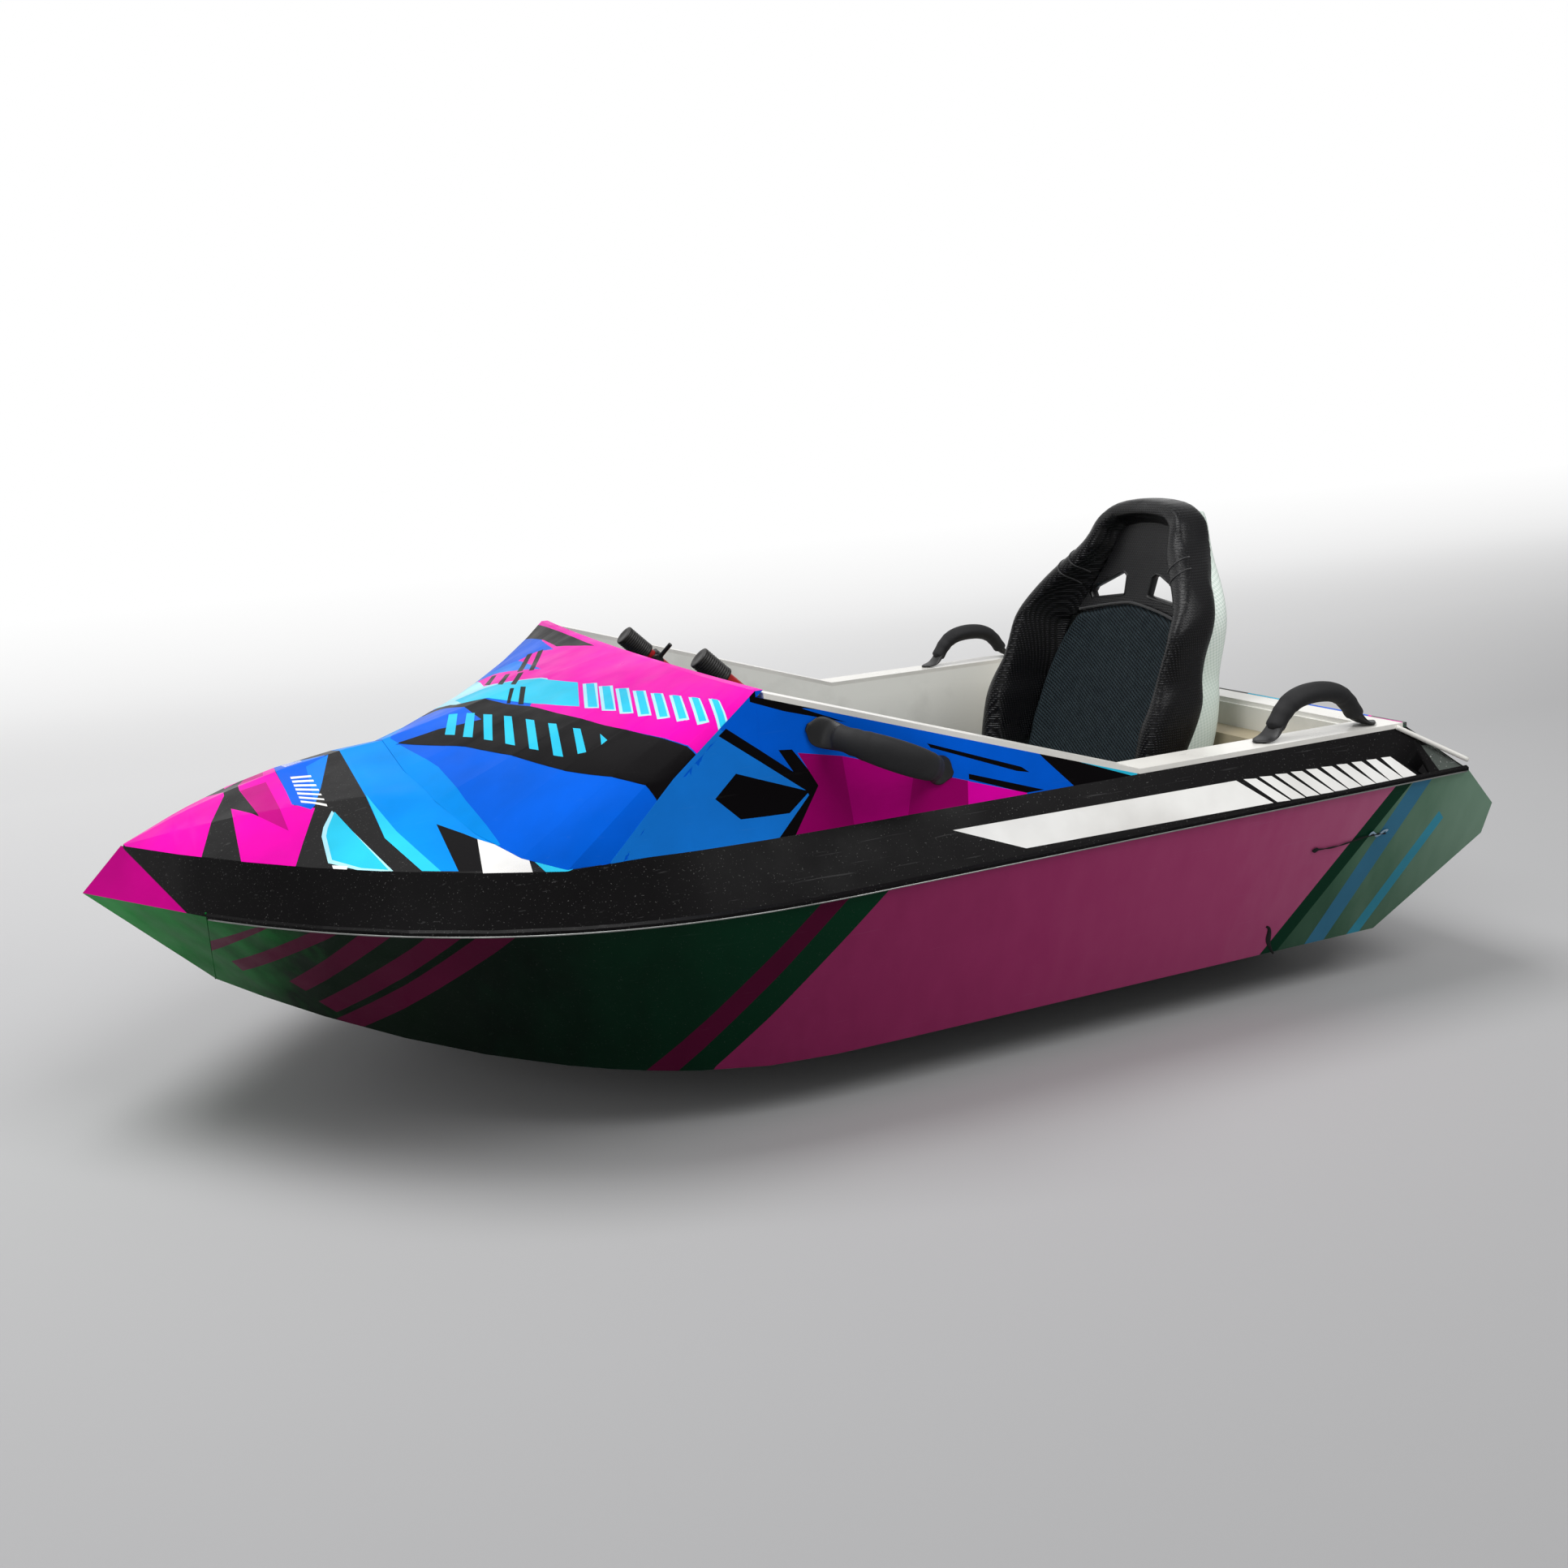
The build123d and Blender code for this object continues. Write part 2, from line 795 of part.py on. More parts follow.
def make_bulkhead():
    """Forward wall of the footwell, its top just under the cowl."""
    gap = cowl_wall * 1.8
    low = [(floor_front_half, floor_height), (cap_inner_half - 4.0, liner_top(bulkhead_x))]
    ys = (0.98 * floor_front_half, 0.66 * floor_front_half, 0.33 * floor_front_half)
    port = low + [(y, cowl_height(bulkhead_x, y) - gap) for y in ys]
    outline = port + [(0.0, cowl_height(bulkhead_x, 0.0) - gap)] + [(-y, z) for y, z in reversed(port)]
    wire = polygon_wire([(bulkhead_x, y, z) for y, z in outline])
    return Solid.extrude(Face(wire), Vector(liner_wall, 0, 0))


def make_aft_wall():
    low = floor_height + floor_thickness
    inner_x = aft_wall_x + liner_wall
    points = [(aft_wall_x, low), (inner_x, low), (inner_x, sheer_height), (aft_wall_x, sheer_height)]
    plate = side_prism(points, -half_beam, half_beam)
    return ((plate & cockpit_space()) - pump_space()).solids()[0]


def aft_cover_foot_x():
    """Where the cover's sloping front meets the floor, behind the seat pedestal."""
    return pedestal_front_x - pedestal_length - aft_cover_foot_gap


def make_aft_cover():
    """Moulded cover behind the seat: a ledge and a sloping front."""
    back = aft_wall_x + liner_wall
    ledge = seat_centre_x(aft_cover_height) - seat_row(aft_cover_height)[3] - aft_cover_clearance
    foot = aft_cover_foot_x()
    low = floor_height + floor_thickness
    profile = [(back, aft_cover_height), (ledge, aft_cover_height), (foot, low), (foot - liner_wall, low),
               (ledge - liner_wall, aft_cover_height - liner_wall), (back, aft_cover_height - liner_wall)]
    return (side_prism(profile, -half_beam, half_beam) & cockpit_space()).solids()[0]


def make_pedestal():
    centre_x = pedestal_front_x - pedestal_length / 2
    low = floor_height + floor_thickness
    height = pedestal_top - low
    outer = Pos(centre_x, 0, low + height / 2) * Box(pedestal_length, 2 * pedestal_half, height)
    inner = Pos(centre_x, 0, low + height / 2 - pedestal_wall) * Box(
        pedestal_length - 2 * pedestal_wall, 2 * (pedestal_half - pedestal_wall), height)
    return outer - inner


def make_engine():
    front = pedestal_front_x - pedestal_wall - engine_gap
    height = engine_top - engine_low
    block = Box(engine_length, 2 * engine_half, height)
    block = chamfer(block.edges().filter_by(Axis.X), 14.0)
    return Pos(front - engine_length / 2, 0, engine_low + height / 2) * block


def engine_back_x():
    return pedestal_front_x - pedestal_wall - engine_gap - engine_length


def make_engine_beds():
    front = pedestal_front_x - pedestal_wall - engine_gap
    height = engine_low - wall
    bed = Box(engine_length, bed_width, height)
    centre = Pos(front - engine_length / 2, bed_half, wall + height / 2)
    return centre * bed, starboard(centre * bed)


def seat_centre_x(z):
    """Middle plane of the seat's back at height z."""
    return seat_base_x - seat_lean * (z - SEAT_ROWS[0][0])


def seat_row(z):
    """Seat section at height z, read between the rows of the table."""
    low, high = next(pair for pair in zip(SEAT_ROWS, SEAT_ROWS[1:]) if z <= pair[1][0])
    part = share(z, low[0], high[0])
    return tuple(blend(first, second, part) for first, second in zip(low, high))


def seat_rows(low, high):
    """Sections between two heights, with the table's own rows in between."""
    return [seat_row(low)] + [row for row in SEAT_ROWS if low < row[0] < high] + [seat_row(high)]


def seat_loft(rows, outline):
    """Ruled solid through level (x, y) outlines, one for each row of the seat."""
    wires = []
    for row in rows:
        wires.append(polygon_wire([(seat_centre_x(row[0]) + x, y, row[0]) for x, y in outline(row)]))
    return Solid.make_loft(wires, ruled=True)


def shell_outline(row):
    """Channel section of the seat's shell, open to the front."""
    _, half, front, back = row
    inner = half - seat_shell_wall
    corner = half - seat_shell_corner
    port = [(front, half), (0.0, half), (-back, corner)]
    port_in = [(-back + seat_shell_wall, corner - 2.0), (-2.0, inner), (front, inner)]
    right = [(x, -y) for x, y in reversed(port)]
    right_in = [(x, -y) for x, y in reversed(port_in)]
    return port + right + right_in + port_in


def harness_holes(grow=0.0):
    """Two slanting harness slots through the seat's back."""
    low = hole_low - grow
    high = hole_top + grow
    inner = hole_inner - grow
    outer = hole_outer + grow
    points = [(inner, low), (inner, high), (inner + 0.25 * (outer - inner), high),
              (outer, low + 0.35 * (high - low)), (outer, low)]
    wire = polygon_wire([(stern_x, y, z) for y, z in points])
    slot = Solid.extrude(Face(wire), Vector(-stern_x, 0, 0))
    return slot, starboard(slot)


def make_seat_shell():
    """Bucket shell: back channel and pan, with the harness slots cut."""
    back = seat_loft(SEAT_ROWS, shell_outline)
    front_x = seat_base_x + SEAT_ROWS[0][2] - 2.0
    pan_front = front_x + cushion_length - SEAT_ROWS[0][2]
    half = SEAT_ROWS[0][1]
    pan_back = seat_base_x - 30.0
    low = seat_floor + 1.0
    floor = Pos((pan_back + pan_front) / 2, 0, low + seat_shell_wall / 2) * Box(
        pan_front - pan_back, 2 * half, seat_shell_wall)
    wing_points = [(front_x - 40.0, low), (pan_front, low), (pan_front, low + pan_side_front_height),
                   (pan_front - 60.0, low + pan_side_height), (front_x - 28.0, low + pan_side_height)]
    wing = side_prism(wing_points, half - seat_shell_wall, half)
    shell = back + floor + wing + starboard(wing)
    for slot in harness_holes():
        shell = shell - slot
    return shell.solids()[0]


def bolster_outline(row):
    """One side bolster inside the shell's wing, rounded by its chamfered corners."""
    _, half, front, back = row
    outer = half - seat_shell_wall - 1.0
    inner = max(outer - bolster_width, 0.42 * outer)
    return [(8.0, outer), (front + 12.0, outer), (front + 18.0, outer - 16.0),
            (front + 10.0, inner + 20.0), (26.0, inner), (8.0, inner)]


def make_bolster():
    return seat_loft(seat_rows(bolster_low, bolster_high), bolster_outline)


def head_outline(row):
    _, half, front, back = row
    outer = half - seat_shell_wall - 1.0
    port = [(8.0, outer), (front + 12.0, outer), (front + 14.0, outer - 14.0), (34.0, outer - 44.0)]
    return port + [(x, -y) for x, y in reversed(port)]


def make_head_pad():
    """Pad of the seat's head, above the harness slots."""
    return seat_loft(seat_rows(head_low, SEAT_ROWS[-1][0]), head_outline)


def back_pad_outline(row):
    _, half, front, back = row
    outer = half - seat_shell_wall - bolster_width - 3.0
    port = [(-back + seat_shell_wall + seat_gap, outer - 46.0), (6.0, outer), (10.0, outer - 14.0)]
    return port + [(x, -y) for x, y in reversed(port)]


def make_back_pad():
    """Thin pad between the bolsters, below the harness slots."""
    return seat_loft(seat_rows(bolster_low, back_pad_high), back_pad_outline)


def make_cushion():
    low = seat_floor + 1.0 + seat_shell_wall + seat_gap
    front = seat_base_x + cushion_length - 20.0
    back = seat_base_x + 45.0
    top = low + cushion_height
    points = [(back, low), (front, low), (front, top - 14.0), (front - 30.0, top),
              (back + 60.0, top - 12.0), (back - 6.0, top - 14.0)]
    half = SEAT_ROWS[0][1] - seat_shell_wall - 2.0
    return side_prism(points, -half + 30.0, half - 30.0)


def make_seat_rails():
    front = seat_base_x + cushion_length - 40.0
    back = seat_base_x + 10.0
    rail = Pos((front + back) / 2, rail_half, pedestal_top + (rail_height + 1.3) / 2) * Box(
        front - back, rail_width, rail_height + 1.3)
    return rail, starboard(rail)


# Steering frame: the column's direction points down and forward from the hub
rake = radians(column_rake)
hub = Vector(yoke_hub_x, 0, yoke_hub_height)
column_dir = Vector(cos(rake), 0, -sin(rake))
grip_dir = Vector(sin(rake), 0, cos(rake))


def yoke_point(y, reach):
    """Point in the yoke's own plane: y to port, reach up along the grips."""
    return hub + grip_dir * reach + Vector(0, y, 0)


def rod(start, direction, length, radius):
    circle = Edge.make_circle(radius, Plane(origin=start, z_dir=direction))
    return Solid.extrude(Face(Wire(circle)), direction * length)


def make_yoke_tube():
    """Bent tube of the yoke: two arms that lean a little inward, and the cross bar."""
    corner = yoke_half + 4.0
    points = [yoke_point(yoke_half, yoke_reach), yoke_point(corner, -yoke_drop),
              yoke_point(-corner, -yoke_drop), yoke_point(-yoke_half, yoke_reach)]
    path = FilletPolyline(*points, radius=yoke_bend)
    start = Plane(origin=points[0], z_dir=(points[1] - points[0]))
    return sweep(start * Circle(yoke_tube_radius), path=path)


def make_yoke_hub():
    """Clamp that holds the cross bar to the column's head."""
    block = rod(hub - column_dir * (hub_length / 2), column_dir, hub_length, hub_radius)
    bar = rod(yoke_point(-hub_radius * 2, -yoke_drop), Vector(0, 1, 0), hub_radius * 4, yoke_tube_radius)
    return (block - bar).solids()[0]


def make_column():
    start = hub + column_dir * (hub_length / 2)
    return rod(start, column_dir, column_length - hub_length / 2, column_radius)


def make_grip(side):
    """Black sleeve over the end of one arm."""
    corner = yoke_half + 4.0
    end = yoke_point(side * yoke_half, yoke_reach)
    arm = (yoke_point(side * corner, -yoke_drop) - end).normalized()
    start = end - arm * 4.0
    sleeve = rod(start, arm, grip_length, grip_radius)
    sleeve = chamfer(sleeve.edges(), 1.5)
    return sleeve - rod(end, arm, grip_length, yoke_tube_radius)


def make_throttle():
    """Thumb throttle on the starboard arm: a clamp, a round housing and its lever."""
    corner = yoke_half + 4.0
    end = yoke_point(-yoke_half, yoke_reach)
    arm = (yoke_point(-corner, -yoke_drop) - end).normalized()
    start = end + arm * (grip_length + 6.0)
    clamp = rod(start, arm, 16.0, yoke_tube_radius + 5.0)
    pod_start = start + arm * 8.0 + Vector(0, yoke_tube_radius + 4.0, 0)
    pod = rod(pod_start + Vector(-6.0, 8.0, 6.0), Vector(0, 1, 0), 6.0, 11.0)
    body = rod(pod_start, Vector(0, 1, 0), 12.0, 11.0)
    lever_start = pod_start + Vector(0, 4.0, 0)
    lever = rod(lever_start, Vector(-0.55, 0.45, 0.7).normalized(), 42.0, 4.0)
    whole = (clamp + body + lever) - rod(start - arm * 4.0, arm, 40.0, yoke_tube_radius)
    return whole.solids()[0]


def make_console():
    """Closed console between the rider's legs, with the column's bearing bore."""
    top = hub + column_dir * (column_length - bearing_depth)
    low = floor_height + floor_thickness
    back = top - grip_dir * console_aft_run
    front = top + grip_dir * console_aft_run
    points = [(back.X, back.Z), (front.X, front.Z),
              (front.X + console_front_run * 0.6, low), (back.X + 20.0, low)]
    body = side_prism(points, -console_half, console_half)
    bore = rod(top - column_dir * 5.0, column_dir, bearing_depth + 5.3, column_radius + column_clearance)
    return (body - bore).solids()[0]


def make_handle():
    """Handle in its own frame: along X between its feet, standing off along Z."""
    half = handle_length / 2
    foot_z = handle_foot_thickness
    reach = half - handle_foot * 0.75
    points = [Vector(-reach, 0, foot_z), Vector(-reach * 0.72, 0, foot_z + handle_rise),
              Vector(reach * 0.72, 0, foot_z + handle_rise), Vector(reach, 0, foot_z)]
    path = FilletPolyline(*points, radius=26.0)
    start = Plane(origin=points[0], z_dir=(points[1] - points[0]))
    loop = sweep(start * Circle(handle_radius), path=path)
    loop = loop & (Pos(0, 0, 100.0 + foot_z - 0.5) * Box(2 * handle_length, 100.0, 200.0))
    width = handle_foot_width / 2
    outline = [(-half, 0.0), (-half + 16.0, width), (-half + handle_foot, width * 0.8),
               (-half + handle_foot, -width * 0.8), (-half + 16.0, -width)]
    foot = plan_prism(outline, 0.0, foot_z)
    other = mirror(foot, about=Plane.YZ)
    return (loop + foot + other).solids()[0]


def aft_handle():
    place = Pos(aft_handle_x, sheer_half_mid - cap_width / 2, sheer_height + cap_thickness)
    return place * make_handle()


def coaming_point(x, z):
    """Point on the coaming's outer face."""
    part = share(z, sheer_height, cap_under(x))
    return Vector(x, blend(sheer_half(x), coaming_half(x), part), z)


def fore_handle():
    """Handle on the coaming's outer face, sloping with the coaming."""
    x = rim_x - fore_handle_run
    height = cap_under(x) - fore_handle_drop
    slope = atan2(coaming_rise, coaming_run) + radians(fore_handle_tilt)
    reach = handle_length / 2
    run = (reach * cos(slope), reach * sin(slope))
    aft = coaming_point(x - run[0], height - run[1])
    fore = coaming_point(x + run[0], height + run[1])
    low = coaming_point(x, height - handle_foot_width)
    along = (fore - aft).normalized()
    out = along.cross(low - aft).normalized()
    side = out.cross(along)
    middle = (aft + fore) * 0.5
    lift = 0.0
    for length in (-reach, -reach + handle_foot, reach - handle_foot, reach):
        for width in (-handle_foot_width / 2, handle_foot_width / 2):
            corner = middle + along * length + side * width
            lift = max(lift, (coaming_point(corner.X, corner.Z) - corner).dot(out))
    return Plane(origin=middle + out * (lift + seat_gap), x_dir=along, z_dir=out) * make_handle()


def pump_front_x():
    return chine_end_x + pump_overlap


def pump_back_x():
    return pump_front_x() - pump_length


def make_pump_housing():
    """Pump housing: tunnel ring, stator vanes and hub, cone, outlet and nozzle lugs."""
    front = pump_front_x()
    back = pump_back_x()
    cone_end = back - cone_length
    inner = pump_radius - pump_wall
    body = along_x(back, front, pump_radius) + cone_x(cone_end, back, outlet_radius, pump_radius)
    body = body + along_x(cone_end - outlet_length, cone_end, outlet_radius)
    bore = along_x(back, front + 1, inner) + cone_x(cone_end, back, outlet_radius - 6.0, inner)
    bore = bore + along_x(cone_end - outlet_length - 1, cone_end, outlet_radius - 6.0)
    shell = body - bore
    vane_front = front - impeller_length - 2 * impeller_clearance - 4.0
    hub_body = along_x(back, vane_front, impeller_hub_radius)
    hub_body = hub_body + cone_x(cone_end + 4.0, back, 6.0, impeller_hub_radius)
    vanes = []
    for index in range(vane_count):
        vane = Pos((vane_front + back) / 2, 0, 0) * Box(vane_front - back, 4.0, inner - 8.0)
        turn = Pos(0, 0, pump_height) * Rot(360.0 / vane_count * index, 0, 0)
        vane = turn * Pos(0, 0, inner / 2 + 4.0) * vane
        vanes.append(vane)
    whole = shell + hub_body
    for vane in vanes:
        whole = whole + (vane & along_x(back, vane_front, inner + 2.0))
    bore_depth = vane_front - 14.0
    whole = whole - along_x(bore_depth, vane_front + 1.0, shaft_radius + column_clearance)
    for strap in make_straps():
        whole = whole + strap
    return whole.solids()[0]


def nozzle_pivot_x():
    return chine_end_x - nozzle_pivot_run


def strap_offset():
    """Height of a strap's inner face from the pump's axis."""
    return nozzle_front_radius + strap_gap


def make_straps():
    """Upper and lower straps that carry the nozzle's pivot pins."""
    low_x = nozzle_pivot_x() - strap_width / 2
    high_x = pump_back_x() + 12.0
    offset = strap_offset() + strap_thickness / 2
    strap = Pos((low_x + high_x) / 2, 0, pump_height + offset) * Box(
        high_x - low_x, strap_width, strap_thickness)
    hole = Pos(nozzle_pivot_x(), 0, pump_height) * Cylinder(
        nozzle_pin_radius + column_clearance, 3 * pump_height)
    upper = strap - hole
    return upper, mirror(upper, about=Plane.XY.offset(pump_height))


def make_impeller():
    """Impeller: shaft, hub and twisted blades cut round by the tip clearance."""
    front = pump_front_x() - 4.0
    back = front - impeller_length
    middle = (front + back) / 2
    tip = pump_radius - pump_wall - impeller_clearance
    vane_front = pump_front_x() - impeller_length - 2 * impeller_clearance - 4.0
    shaft_end = engine_back_x() - seat_gap
    shaft = along_x(vane_front - 13.0, shaft_end, shaft_radius)
    body = shaft + along_x(back, front, impeller_hub_radius)
    for index in range(blade_count):
        wires = []
        for radius, pitch in ((impeller_hub_radius - 4.0, blade_pitch - 18.0), (tip, blade_pitch + 8.0)):
            turn = radians(pitch)
            half_chord = impeller_length / 2 * 0.92 / cos(turn)
            along = Vector(cos(turn), sin(turn), 0) * half_chord
            across = Vector(-sin(turn), cos(turn), 0) * (blade_thickness / 2)
            centre = Vector(middle, 0, radius)
            corners = [centre + along + across, centre - along + across,
                       centre - along - across, centre + along - across]
            wires.append(Wire.make_polygon(corners, close=True))
        blade = Solid.make_loft(wires, ruled=True)
        body = body + Pos(0, 0, pump_height) * Rot(360.0 / blade_count * index, 0, 0) * blade
    envelope = along_x(back, front, tip) + shaft
    return (body & envelope).solids()[0]


def make_nozzle():
    """Steering nozzle: a hollow bell with its two vertical pins and two side pins."""
    front = nozzle_pivot_x() + nozzle_front_run
    back = front - nozzle_length
    bell = cone_x(back, front, nozzle_exit_radius, nozzle_front_radius)
    slope = (nozzle_front_radius - nozzle_exit_radius) / nozzle_length
    inside = cone_x(back - 2.0, front + 2.0, nozzle_exit_radius - nozzle_wall - 2.0 * slope,
                    nozzle_front_radius - nozzle_wall + 2.0 * slope)
    pin_length = strap_offset() + strap_thickness
    pin_start = nozzle_front_radius - nozzle_wall - 4.0
    pin = Pos(nozzle_pivot_x(), 0, pump_height + (pin_start + pin_length) / 2) * Cylinder(
        nozzle_pin_radius, pin_length - pin_start)
    side_start = nozzle_exit_radius - nozzle_wall
    side_end = bucket_half + 2.0
    side_pin = Pos(bucket_pivot_x(), (side_start + side_end) / 2, pump_height) * Rot(90, 0, 0) * Cylinder(
        bucket_pin_radius, side_end - side_start)
    body = bell + pin + mirror(pin, about=Plane.XY.offset(pump_height)) + side_pin + starboard(side_pin)
    return (body - inside).solids()[0]


def bucket_pivot_x():
    return nozzle_pivot_x() - bucket_pivot_run


def make_bucket():
    """Reverse bucket: an arc shell between two cheeks, stowed above the nozzle."""
    pivot = Vector(bucket_pivot_x(), 0, pump_height)
    inner_half = bucket_half - bucket_wall
    start = radians(bucket_start)
    sweep_angle = radians(bucket_sweep)
    steps = 8
    turns = [start + sweep_angle * index / steps for index in range(steps + 1)]
    rim = bucket_radius + bucket_wall
    outer = [(pivot.X + rim * cos(turn), pivot.Z + rim * sin(turn)) for turn in turns]
    inner = [(pivot.X + bucket_radius * cos(turn), pivot.Z + bucket_radius * sin(turn))
             for turn in reversed(turns)]
    bowl = side_prism(outer + inner, -bucket_half, bucket_half)
    foot = [(pivot.X - 12.0, pivot.Z - 4.0), (pivot.X + 12.0, pivot.Z - 4.0)]
    cheek = side_prism(foot + outer, inner_half, bucket_half)
    boss = Pos(pivot.X, (inner_half + bucket_half) / 2, pivot.Z) * Rot(90, 0, 0) * Cylinder(13.0, bucket_wall)
    cheek = cheek + boss
    pin = Pos(pivot.X, 0, pivot.Z) * Rot(90, 0, 0) * Cylinder(
        bucket_pin_radius + column_clearance, 3 * bucket_half)
    return ((bowl + cheek + starboard(cheek)) - pin).solids()[0]


def make_ride_plate():
    """Plate under the nozzle, flanged to the hull's foot plate."""
    face = chine_end_x - seat_gap
    plate = Pos(face - ride_plate_length / 2, 0, ride_plate_height + 3.0) * Box(
        ride_plate_length, 2 * ride_plate_half, 6.0)
    flange = Pos(face - 3.0, 0, ride_plate_height + 8.0) * Box(6.0, 2 * ride_plate_half, 16.0)
    plate = plate + flange
    return plate - along_x(face - 20.0, face + 1.0, pump_radius + 2.0)


def intake_low_x():
    return chine_end_x + intake_back_run


def intake_high_x():
    return chine_end_x + intake_front_run


def make_duct():
    """Intake duct from the keel pad's opening up to the pump's front."""
    low_x = pump_front_x()
    high_x = intake_high_x()
    top = pump_height + pump_radius
    ridge = low_x + duct_knee_run
    outer = [(low_x, wall), (low_x, top), (ridge, top), (high_x + 30.0, wall + 24.0), (high_x + 30.0, wall)]
    inner = [(low_x - 1, wall - 1), (low_x - 1, top - duct_wall), (ridge - 4.0, top - duct_wall),
             (high_x - 2.0, wall - 1)]
    body = side_prism(outer, -intake_half - duct_wall, intake_half + duct_wall)
    body = body - side_prism(inner, -intake_half, intake_half)
    return (body - along_x(low_x, high_x + 60.0, shaft_radius + 0.1)).solids()[0]


def make_hull_bottom():
    """Bottom panel: flat keel pad and shallow V, with the jet's intake opening."""
    stations = [knuckle_x - 1] + hull_stations + [chine_end_x]
    panel = station_loft(stations, bottom_outline)
    length = intake_high_x() - pump_front_x()
    middle = (intake_high_x() + pump_front_x()) / 2
    opening = Pos(middle, 0, wall / 2) * Box(length - 4.0, 2 * intake_half, 4 * wall)
    return (panel - opening).solids()[0]


def make_grate():
    """Intake grate: fore-and-aft bars on two cross bars, flush in the keel pad."""
    low_x = pump_front_x() + 2.0 + seat_gap
    high_x = intake_high_x() - 2.0 - seat_gap
    length = high_x - low_x
    middle = (low_x + high_x) / 2
    pitch = 2 * intake_half / (grate_bars + 1)
    grate = None
    for index in range(grate_bars):
        y = -intake_half + pitch * (index + 1)
        bar = Pos(middle, y, wall / 2) * Box(length, grate_bar_width, wall)
        grate = bar if grate is None else grate + bar
    for x in (low_x + 4.0, high_x - 4.0):
        grate = grate + Pos(x, 0, wall / 2) * Box(8.0, 2 * (intake_half - seat_gap), wall)
    return grate.solids()[0]


def rail_outline(x):
    """Thin trim that hugs the corner of the rub line."""
    half = rub_half(x)
    level = rub_height(x)
    return [(half - 2.0, level + 5.0), (half + rub_rail_depth, level + 2.0),
            (half + rub_rail_depth, level - 3.0), (half - 1.0, level - 5.0), (half + 0.1, level)]


def make_rub_rail():
    stations = [knuckle_x - 1] + hull_stations + [rub_end_x]
    return station_loft(stations, rail_outline)


def make_stern_eyes():
    """Tie-down eyes on the undercut, each a foot plate and a lug with its bore."""
    run = Vector(stern_x - chine_end_x, 0, stern_point_low - chine_height).normalized()
    out = Vector(-run.Z, 0, run.X)
    origin = Vector(undercut_x(stern_eye_height), stern_eye_half, stern_eye_height) + out * seat_gap
    base = Plane(origin=origin, x_dir=run, z_dir=out)
    width = stern_eye_width
    plate = base * (Pos(0, 0, stern_eye_plate / 2) * Box(2 * width, width, stern_eye_plate))
    upright = base * (Pos(0, 0, stern_eye_reach / 2) * Box(width, stern_eye_thickness, stern_eye_reach))
    head = base * (Pos(0, 0, stern_eye_reach) * Rot(90, 0, 0) * Cylinder(width / 2, stern_eye_thickness))
    bore = base * (Pos(0, 0, stern_eye_reach) * Rot(90, 0, 0) * Cylinder(stern_eye_radius, 2 * width))
    eye = (plate + upright + head - bore).solids()[0]
    return eye, starboard(eye)


bow_cap = make_bow_cap()
side = make_hull_sides()
bottom = make_hull_bottom()
band = make_band()
cowl = make_cowl(band)
undercut = make_transom_lower(side, bottom)
coaming_front, coaming_back = make_coaming(cowl, band)
cap = make_gunwale_cap()
liner = make_liner_side()
bolster = make_bolster()
rail = make_rub_rail()
save("hull_bottom", bottom)
save("hull_side_port", side)
save("hull_side_starboard", starboard(side))
save("lower_nose", make_nose())
save("bow_cap", bow_cap)
save("side_band_port", band)
save("side_band_starboard", starboard(band))
save("rub_rail", rail, starboard(rail))
save("foredeck", make_foredeck(bow_cap))
save("cowl", cowl)
save("coaming_port", coaming_front, coaming_back)
save("coaming_starboard", starboard(coaming_front), starboard(coaming_back))
save("gunwale_cap_port", cap)
save("gunwale_cap_starboard", starboard(cap))
save("transom_upper", make_transom_upper(band))
save("transom_lower", undercut)
save("transom_cap", make_transom_cap())
save("jet_tunnel", make_jet_tunnel())
save("liner_port", liner)
save("liner_starboard", starboard(liner))
save("cockpit_floor", make_floor())
save("forward_bulkhead", make_bulkhead())
save("aft_wall", make_aft_wall())
save("aft_cover", make_aft_cover())
save("seat_pedestal", make_pedestal())
save("engine_block", make_engine())
save("engine_beds", *make_engine_beds())
save("seat_rails", *make_seat_rails())
save("seat_shell", make_seat_shell())
save("seat_bolsters", bolster, starboard(bolster))
save("seat_head_pad", make_head_pad())
save("seat_back_pad", make_back_pad())
save("seat_cushion", make_cushion())
save("console", make_console())
save("steering_column", make_column())
save("yoke_hub", make_yoke_hub())
save("yoke_tube", make_yoke_tube())
save("grip_port", make_grip(1))
save("grip_starboard", make_grip(-1))
save("thumb_throttle", make_throttle())
handle_aft = aft_handle()
handle_fore = fore_handle()
save("handle_aft_port", handle_aft)
save("handle_aft_starboard", starboard(handle_aft))
save("handle_fore_port", handle_fore)
save("handle_fore_starboard", starboard(handle_fore))
save("pump_housing", make_pump_housing())
save("impeller", make_impeller())
save("steering_nozzle", make_nozzle())
save("reverse_bucket", make_bucket())
save("ride_plate", make_ride_plate())
save("intake_duct", make_duct())
save("intake_grate", make_grate())
save("stern_eyes", *make_stern_eyes())
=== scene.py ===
"""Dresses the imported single-seat jet boat: painted panels, moulded seat, grips and studio."""

import json
import logging
from collections.abc import Callable, Sequence
from dataclasses import dataclass
from enum import Enum

import bmesh
import bpy
import numpy as np
from mathutils import Matrix, Vector
from mathutils.bvhtree import BVHTree
from mathutils.geometry import delaunay_2d_cdt

